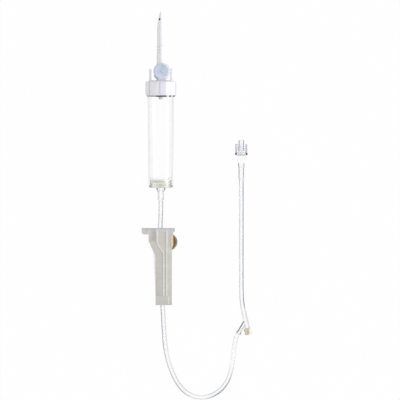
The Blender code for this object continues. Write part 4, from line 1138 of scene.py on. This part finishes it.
def make_bond_shadow():
    """The ring of solvent bond between the skirt's rim and the chamber, which carries the painted shadow of
    the gap under the skirt.
    """
    outline = rounded([
        (CHAMBER_TOP_RADIUS + BOND_FILM, BOND_TOP), (CHAMBER_TOP_RADIUS + BOND_FILM, BOND_LOW),
        (SKIRT_INNER + 0.3 * MM, BOND_LOW + 0.1 * MM), (SKIRT_RADIUS - 0.2 * MM, -0.3 * MM),
        (SKIRT_RADIUS - 0.3 * MM, -BOND_FILM), (SKIRT_INNER - BOND_FILM, BOND_TOP),
    ], radius=0.3 * MM)
    piece("cap_bond_shadow", turned(outline), BOND_SHADOW, place=CHAMBER_PLACE)


def make_lid():
    """The vent cap with its tongue and hinge bead."""
    front = VENT_FACE + GAP
    plug = VENT_BORE - GAP
    plug_end = front - GAP - VENT_PLUG_DEPTH
    face = front + VENT_CAP_THICKNESS
    flat = VENT_CAP_RADIUS - 1.3 * VENT_CAP_BEVEL
    middle_edge = VENT_CAP_RADIUS - 0.4 * VENT_CAP_BEVEL

    def eight_flats(angle, radius):
        """Straight edges around the lid's face."""
        if not flat < radius < VENT_CAP_RADIUS - 0.7 * VENT_CAP_BEVEL:
            return 0
        turn = math.tau / 8
        return max(0.0, radius - flat / math.cos((angle + turn / 2) % turn - turn / 2))

    outline = rounded([
        (0, front), (plug - VENT_PLUG_WALL, front), (plug - VENT_PLUG_WALL, plug_end), (plug, plug_end),
        (plug, front), (VENT_CAP_RADIUS, front), (VENT_CAP_RADIUS, face - LID_EDGE),
        (middle_edge, face - LID_DISH), (VENT_CAP_RADIUS - VENT_CAP_BEVEL, face),
        (VENT_CAP_RADIUS - 1.6 * VENT_CAP_BEVEL, face),
        (VENT_CAP_RADIUS - 1.9 * VENT_CAP_BEVEL, face - LID_DISH), (BUTTON_RADIUS, face - LID_DISH),
        (BUTTON_RADIUS - BUTTON_SLOPE, face - BUTTON_TOP), (0, face - BUTTON_TOP + 0.05 * MM),
    ], radius=0.12 * MM)
    wide = VENT_CAP_RADIUS + GAP
    below = block(-wide, wide, -wide, HINGE_Y, plug_end - GAP, face + GAP)
    hinge = Matrix.Translation((VENT_OFFSET, HINGE_Y, HINGE_FORWARD)) @ Matrix.Rotation(math.pi / 2, 4, "Z")
    bead = turned_by(rod(HINGE_BEAD, -HINGE_WIDTH / 2, HINGE_WIDTH / 2), hinge)
    left, right, upper = TONGUE
    tongue = softened(block(left, right, HINGE_Y, upper, front + FACE_REACH, face - 0.5 * MM), 0.2 * MM)
    steps = [("DIFFERENCE", below), ("UNION", tongue), ("UNION", bead)]
    cap = carved(towards_front(turned(outline, wave=eight_flats)), steps)
    lid = piece("vent_lid", cap, VENT_BLUE, body="vent_cap", place=CHAMBER_PLACE,
                replaces=["vent_cap"])
    centre = CHAMBER_PLACE @ Vector((VENT_OFFSET, VENT_PLACE, 0))

    # The lid's chamfer faces wear the painted highlight.
    def on_highlit_chamfer(side):
        away = math.hypot(side.center.x - centre.x, side.center.y - centre.y)
        return int(flat < away < middle_edge and 0.25 < side.normal.z < 0.95)

    painted(lid, (VENT_HIGHLIGHT,), on_highlit_chamfer)


def make_vent():
    """The vent cap, a dark lip beside it that stands in for the shadow under the cap, its hinge strap and
    the membrane behind it.
    """
    make_lid()
    arc = [math.radians(REST_FROM + (REST_TO - REST_FROM) * step / 8) for step in range(9)]
    rest = [(VENT_OFFSET + radius * math.cos(angle), VENT_PLACE + radius * math.sin(angle))
            for radius, angles in ((REST_INNER, arc), (REST_OUTER, arc[-2:0:-1])) for angle in angles]
    lip = softened(prism(rest, REST_LOW, VENT_FACE), width=0.1 * MM)
    piece("vent_rest_shadow", lip, REST_SHADOW, place=CHAMBER_PLACE)

    half = STRAP_WIDTH / 2
    behind = HINGE_FORWARD - GAP
    mesh = block(VENT_OFFSET - half, VENT_OFFSET + half, PLATEAU - GAP, HINGE_Y,
                 behind - STRAP_THICKNESS / 2, behind + STRAP_THICKNESS / 2)
    bmesh.ops.subdivide_edges(mesh, edges=list(mesh.edges), cuts=4, use_grid_fill=True)
    strap = piece("vent_strap", mesh, VENT_BLUE, body=None, place=CHAMBER_PLACE)
    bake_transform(strap)
    dress_node("vent_membrane", MEMBRANE)


def make_chamber():
    """The clear chamber, a slightly tapered tube with rounded rims."""
    outline = rounded([
        (CHAMBER_FOOT_RADIUS, -CHAMBER_LENGTH), (CHAMBER_TOP_RADIUS, 0),
        (CHAMBER_TOP_RADIUS, CHAMBER_ENTRY), (CHAMBER_TOP_RADIUS - CHAMBER_WALL, CHAMBER_ENTRY),
        (CHAMBER_TOP_RADIUS - CHAMBER_WALL, 0), (CHAMBER_FOOT_RADIUS - CHAMBER_WALL, -CHAMBER_LENGTH),
    ])
    piece("chamber_clear", turned(outline), PVC, place=CHAMBER_PLACE,
          replaces=["drip_chamber"])


def make_foot():
    """The foot: a cup with a rounded edge that wears painted light and painted dark corners, and a clear
    neck and outlet sleeve.
    """
    corner = [(CHAMBER_FOOT_RADIUS - FOOT_CORNER * (1 - math.cos(angle)),
               FOOT_BOTTOM + FOOT_CORNER * (1 - math.sin(angle))) for angle in quarter_turn(8)]
    cup = [
        (SPIGOT_BORE, TINT_TOP), (SPIGOT_BORE, SPIGOT_TOP), (SPIGOT_RADIUS, SPIGOT_TOP),
        (SPIGOT_RADIUS, TINT_TOP), (SPIGOT_RADIUS, FOOT_TOP), (CHAMBER_FOOT_RADIUS, FOOT_TOP),
        *corner,
        (NECK_RADIUS, FOOT_BOTTOM), (NECK_RADIUS, NECK_MIDDLE), (SLEEVE_RADIUS, NECK_END),
        (SLEEVE_RADIUS, SLEEVE_END), (TUBE_BORE, SLEEVE_END), (TUBE_BORE, FLOOR_TOP),
        (LEDGE_RADIUS, LEDGE - FUNNEL_STEP), (LEDGE_RADIUS, LEDGE), (SPIGOT_BORE, LEDGE),
    ]
    foot = piece("foot_clear", turned(rounded(cup, radius=0.2 * MM)), FOOT, place=CHAMBER_PLACE,
                 replaces=["chamber_base"])
    back = CHAMBER_PLACE.inverted()

    def part_of(face):
        """3 for the sleeve, 1 for the neck, 2 for the spigot and the cup's inside."""
        center = back @ face.center
        away = math.hypot(center.x, center.z)
        if center.y < NECK_MIDDLE - 2 * FACE_REACH or away < 2 * TUBE_BORE:
            return 3
        if center.y < FOOT_BOTTOM - FACE_REACH:
            return 1
        return 2 if center.y > TINT_TOP or away < SPIGOT_BORE + FACE_REACH else 0

    painted(foot, (NECK, SPIGOT, SLEEVE), part_of)
    dress_node("filter_mesh", FILTER_MESH)
    dress_node("filter_ring", FILTER_RING)


# Clamp

def make_clamp():
    """The clamp's housing: the solid's own shape with rounded edges, a painted highlight on the ridges and
    a painted glow on the back.
    """
    mesh = bmesh.new()
    mesh.from_mesh(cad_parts["clamp_housing"].data)
    bmesh.ops.remove_doubles(mesh, verts=mesh.verts, dist=4 * WELD)
    top, low = CLAMP_TOP_Y - FLANGE_THICKNESS, CLAMP_TOP_Y - END_BLOCK_TOP
    for y in (top, low):
        everything = list(mesh.verts) + list(mesh.edges) + list(mesh.faces)
        bmesh.ops.bisect_plane(mesh, geom=everything, plane_co=(0, y, 0), plane_no=(0, 1, 0))
    # Ridge tops wear the painted highlight (1), the ramp's back the painted glow (2).
    for face in mesh.faces:
        x, y, z = face.calc_center_median()
        between = low < y < top and x > CLAMP_BACK
        flat = abs(face.normal.z) > 0.9
        behind = face.normal.x < -0.3 and BACK_DEPTH < z < CLAMP_THICKNESS - BACK_DEPTH
        shelf = flat and abs(min(z, CLAMP_THICKNESS - z) - BACK_DEPTH) < 2 * FACE_REACH
        if between and flat and min(z, CLAMP_THICKNESS - z) < FACE_REACH:
            face.material_index = 1
        elif between and x < BACK_START and (behind or shelf):
            face.material_index = 2
    bmesh.ops.dissolve_limit(mesh, angle_limit=math.radians(1), verts=mesh.verts, edges=mesh.edges,
                             delimit={"MATERIAL"})
    housing = piece("clamp_body", mesh, CLAMP_GREY, replaces=["clamp_housing"])
    for extra in (RIDGE_HIGHLIGHT, BACK_GLOW):
        housing.data.materials.append(extra)
    bevel = housing.modifiers.new("edges", "BEVEL")
    bevel.width = CLAMP_BEVEL
    bevel.segments = 2
    bevel.limit_method = "ANGLE"
    bevel.angle_limit = SHARP
    bevel.harden_normals = True


def make_wheel():
    """The knurled roller with its hub and stub axles."""
    upper = [
        (WHEEL_RADIUS, WHEEL_HALF - TOOTH_DEPTH), (WHEEL_RADIUS - TOOTH_DEPTH, WHEEL_HALF),
        (WHEEL_RIM, WHEEL_HALF), (WHEEL_RIM, WHEEL_FLOOR), (WHEEL_HUB, WHEEL_FLOOR),
        (WHEEL_HUB, WHEEL_HALF), (TRUNNION_RADIUS, WHEEL_HALF), (TRUNNION_RADIUS, TRUNNION_END),
        (0, TRUNNION_END),
    ]
    lower = [(radius, -height) for radius, height in reversed(upper)]
    outline = rounded(lower + upper, FINE_ROUNDING, 2)
    edge = WHEEL_RADIUS - TOOTH_DEPTH / 2

    def teeth(angle, radius):
        return TOOTH_DEPTH * (0.5 - 0.5 * math.cos(WHEEL_TEETH * angle)) if radius > edge else 0

    x, y, z = CLAMP_MIDDLE
    place = Matrix.Translation((WHEEL_X, y - WHEEL_START, z)) @ UPRIGHT
    piece("roller_amber", turned(outline, WHEEL_TEETH * 6, teeth), AMBER, body="roller", place=place,
          replaces=["clamp_wheel"])

    film = block(*GLOW_FILM, CLAMP_THICKNESS + FILM_GAP, CLAMP_THICKNESS + 2 * FILM_GAP)
    piece("roller_glow", film, ROLLER_GLOW, body="roller")


# Y site and luer

def make_y_site():
    """The Y site's clear body: a barrel with a side branch, and its septum."""
    barrel = rounded([
        (0, Y_BARREL_UP), (Y_BARREL_RADIUS, Y_BARREL_UP), (Y_BARREL_RADIUS, -SEPTUM_START + GAP),
        (SEAT_RADIUS, -SEPTUM_START + GAP), (SEAT_RADIUS, -SEAT_END), (0, -SEAT_END),
    ], radius=FINE_ROUNDING)
    branch = rounded([
        (0, 0), (Y_BRANCH_RADIUS, 0), (Y_BRANCH_RADIUS, -Y_BRANCH_LENGTH + Y_BRANCH_FLARE),
        (Y_BRANCH_END_RADIUS, -Y_BRANCH_LENGTH + Y_BRANCH_FLARE / 2),
        (Y_BRANCH_END_RADIUS, -Y_BRANCH_LENGTH), (0, -Y_BRANCH_LENGTH),
    ], radius=FINE_ROUNDING)
    aside = Matrix.Rotation(-Y_TILT - Y_BRANCH_TILT, 4, "Z")
    bore = rod(TUBE_BORE, -SEAT_END - CUT_PAST, Y_BARREL_UP + CUT_PAST)
    side_bore = rod(Y_BRANCH_BORE, -Y_BRANCH_LENGTH - CUT_PAST, 0)
    body = carved(turned(barrel, SMALL_SIDES), [
        ("UNION", turned_by(turned(branch, SMALL_SIDES), aside)),
        ("DIFFERENCE", bore),
        ("DIFFERENCE", turned_by(side_bore, aside)),
    ])
    site = piece("y_site_clear", body, Y_CLEAR, place=Y_PLACE,
                 replaces=["y_site_body"])
    barrel_axis = Vector((-math.sin(Y_TILT), math.cos(Y_TILT), 0))
    branch_axis = Vector((-math.sin(Y_BRANCH_TILT), -math.cos(Y_BRANCH_TILT), 0))
    branch_side = Vector((-branch_axis.y, branch_axis.x, 0))

    def shaded_branch(face):
        """1 for the branch's left side and its end, which wear painted shade."""
        here = face.center - Vector(Y_JUNCTION)
        up = here.dot(barrel_axis)
        away = (here - barrel_axis * up).length
        on_branch = up < 0 and here.x < 0 and away > Y_BARREL_RADIUS + FACE_REACH
        return int(on_branch and (here.dot(branch_side) < 0 or here.dot(branch_axis) > Y_BRANCH_SHADE_START))

    painted(site, (Y_SHADED_CLEAR,), shaded_branch)

    seat = SEAT_RADIUS + GAP
    plug = TUBE_BORE - GAP
    waist = SEPTUM_RADIUS - SEPTUM_WAIST
    middle = (SEPTUM_START + SEPTUM_END) / 2
    septum = rounded([
        (0, -SEAT_END + SEPTUM_PLUG), (plug, -SEAT_END + SEPTUM_PLUG), (plug, -SEAT_END - GAP),
        (seat, -SEAT_END - GAP), (seat, -SEPTUM_START), (SEPTUM_RADIUS, -SEPTUM_START),
        (SEPTUM_RADIUS, WAIST_HALF + WAIST_SLOPE - middle), (waist, WAIST_HALF - middle),
        (waist, -WAIST_HALF - middle), (SEPTUM_RADIUS, -WAIST_HALF - WAIST_SLOPE - middle),
        (SEPTUM_RADIUS, -SEPTUM_END), (SEPTUM_DIMPLE_RADIUS, -SEPTUM_END),
        (SEPTUM_DIMPLE_RADIUS - SEPTUM_DIMPLE, -SEPTUM_END + SEPTUM_DIMPLE),
        (0, -SEPTUM_END + SEPTUM_DIMPLE),
    ], radius=0.6 * MM)
    piece("septum_plug", turned(septum, SMALL_SIDES), SEPTUM, place=Y_PLACE,
          replaces=["y_site_septum"])


def threads():
    """The collar's two thread ridges, winding back from its mouth."""
    mesh = bmesh.new()
    depth = COLLAR_BORE - THREAD_DEPTH
    base = COLLAR_BORE + THREAD_DEPTH / 2
    count = round(THREAD_STEPS * THREAD_TURNS)
    for start in (0.0, math.pi):
        rings = []
        for step in range(count + 1):
            angle = start + math.tau * step / THREAD_STEPS
            along = -COLLAR_SETBACK - 2 * THREAD_HALF - 2 * THREAD_PITCH * step / THREAD_STEPS
            fade = min(1.0, step / THREAD_FADE, (count - step) / THREAD_FADE)
            crest = base + (depth - base) * fade
            reach = THREAD_HALF * max(fade, 0.2)
            rings.append([
                mesh.verts.new((radius * math.cos(angle), along + wide * reach, -radius * math.sin(angle)))
                for radius, wide in ((base, -THREAD_FOOT), (crest, -THREAD_CREST),
                                     (crest, THREAD_CREST), (base, THREAD_FOOT))])
        for low, high in zip(rings, rings[1:]):
            join_rings(mesh, low, high)
        mesh.faces.new(rings[0])
        mesh.faces.new(rings[-1])
    return mesh


def make_luer():
    """The male luer and its loose collar with a thread inside."""
    body = rounded([
        (LUER_BORE, 0), (CONE_TIP_RADIUS, 0), (CONE_ROOT_RADIUS, -CONE_LENGTH),
        (BEAD_RADIUS, -CONE_LENGTH), (BEAD_RADIUS, -LUER_NECK_START),
        (LUER_NECK_RADIUS, -LUER_NECK_START), (LUER_NECK_RADIUS, -HUB_START), (HUB_RADIUS, -HUB_START),
        (HUB_RADIUS, -HUB_END + HUB_SLOPE), (TAIL_STEP_RADIUS, -HUB_END),
        (TAIL_STEP_RADIUS, -HUB_END - TAIL_STEP_LENGTH), (TAIL_RADIUS, -HUB_END - TAIL_STEP_LENGTH),
        (TAIL_RADIUS, -TAIL_END), (LUER_BORE, -TAIL_END),
    ], radius=FINE_ROUNDING)
    luer = piece("luer_clear", turned(body, SMALL_SIDES), LUER_CLEAR, place=LUER_PLACE,
                 replaces=["luer_body"])
    tip_x, tip_y, tip_z = LUER_TIP
    painted(luer, (HUB_CLEAR,), lambda face: int(CONE_LENGTH < tip_y - face.center.y < HUB_END))

    edge = COLLAR_RADIUS + COLLAR_GRIP / 2
    proud = COLLAR_RADIUS + COLLAR_GRIP
    outline = rounded([
        (COLLAR_BORE, -COLLAR_SETBACK), (COLLAR_RADIUS, -COLLAR_SETBACK),
        (COLLAR_RADIUS, -COLLAR_SETBACK - COLLAR_GRIP), (proud, -COLLAR_SETBACK - 2 * COLLAR_GRIP),
        (proud, -COLLAR_LIP), (COLLAR_RIM_RADIUS, -COLLAR_LIP),
        (COLLAR_RIM_RADIUS, -COLLAR_LIP - COLLAR_RIM_LENGTH), (COLLAR_HOLE + COLLAR_GRIP, -COLLAR_END),
        (COLLAR_HOLE, -COLLAR_END), (COLLAR_HOLE, -COLLAR_LIP), (COLLAR_BORE, -COLLAR_LIP),
    ], radius=0.12 * MM)

    def grips(angle, radius):
        beyond = edge < radius < COLLAR_RIM_RADIUS - COLLAR_GRIP / 2
        return COLLAR_GRIP * (0.5 - 0.5 * math.cos(GRIP_COUNT * angle)) if beyond else 0

    collar = piece("collar_clear", turned(outline, SIDES, grips), COLLAR_CLEAR, body="luer_collar",
                   place=LUER_PLACE, replaces=["luer_collar"])

    def on_rim(face):
        away = math.hypot(face.center.x - tip_x, face.center.z - tip_z)
        return int(tip_y - face.center.y > COLLAR_LIP - FACE_REACH and away > COLLAR_BORE)

    painted(collar, (RIM_CLEAR,), on_rim)
    piece("collar_thread", threads(), THREAD_CLEAR, body="luer_collar", place=LUER_PLACE,
          replaces=["luer_collar"])


def keep_sizes():
    """Bring the scene's objects up to date."""
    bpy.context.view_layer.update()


bpy.context.scene.view_settings.view_transform = "Standard"
bpy.context.scene.cycles.transparent_max_bounces = CLEAR_LAYERS
for make in (make_camera, make_tubes, make_sky, make_sun, make_floor, make_spike, make_bond_shadow, make_vent,
             make_chamber, make_foot, make_clamp, make_wheel, make_y_site, make_luer, keep_sizes):
    make()
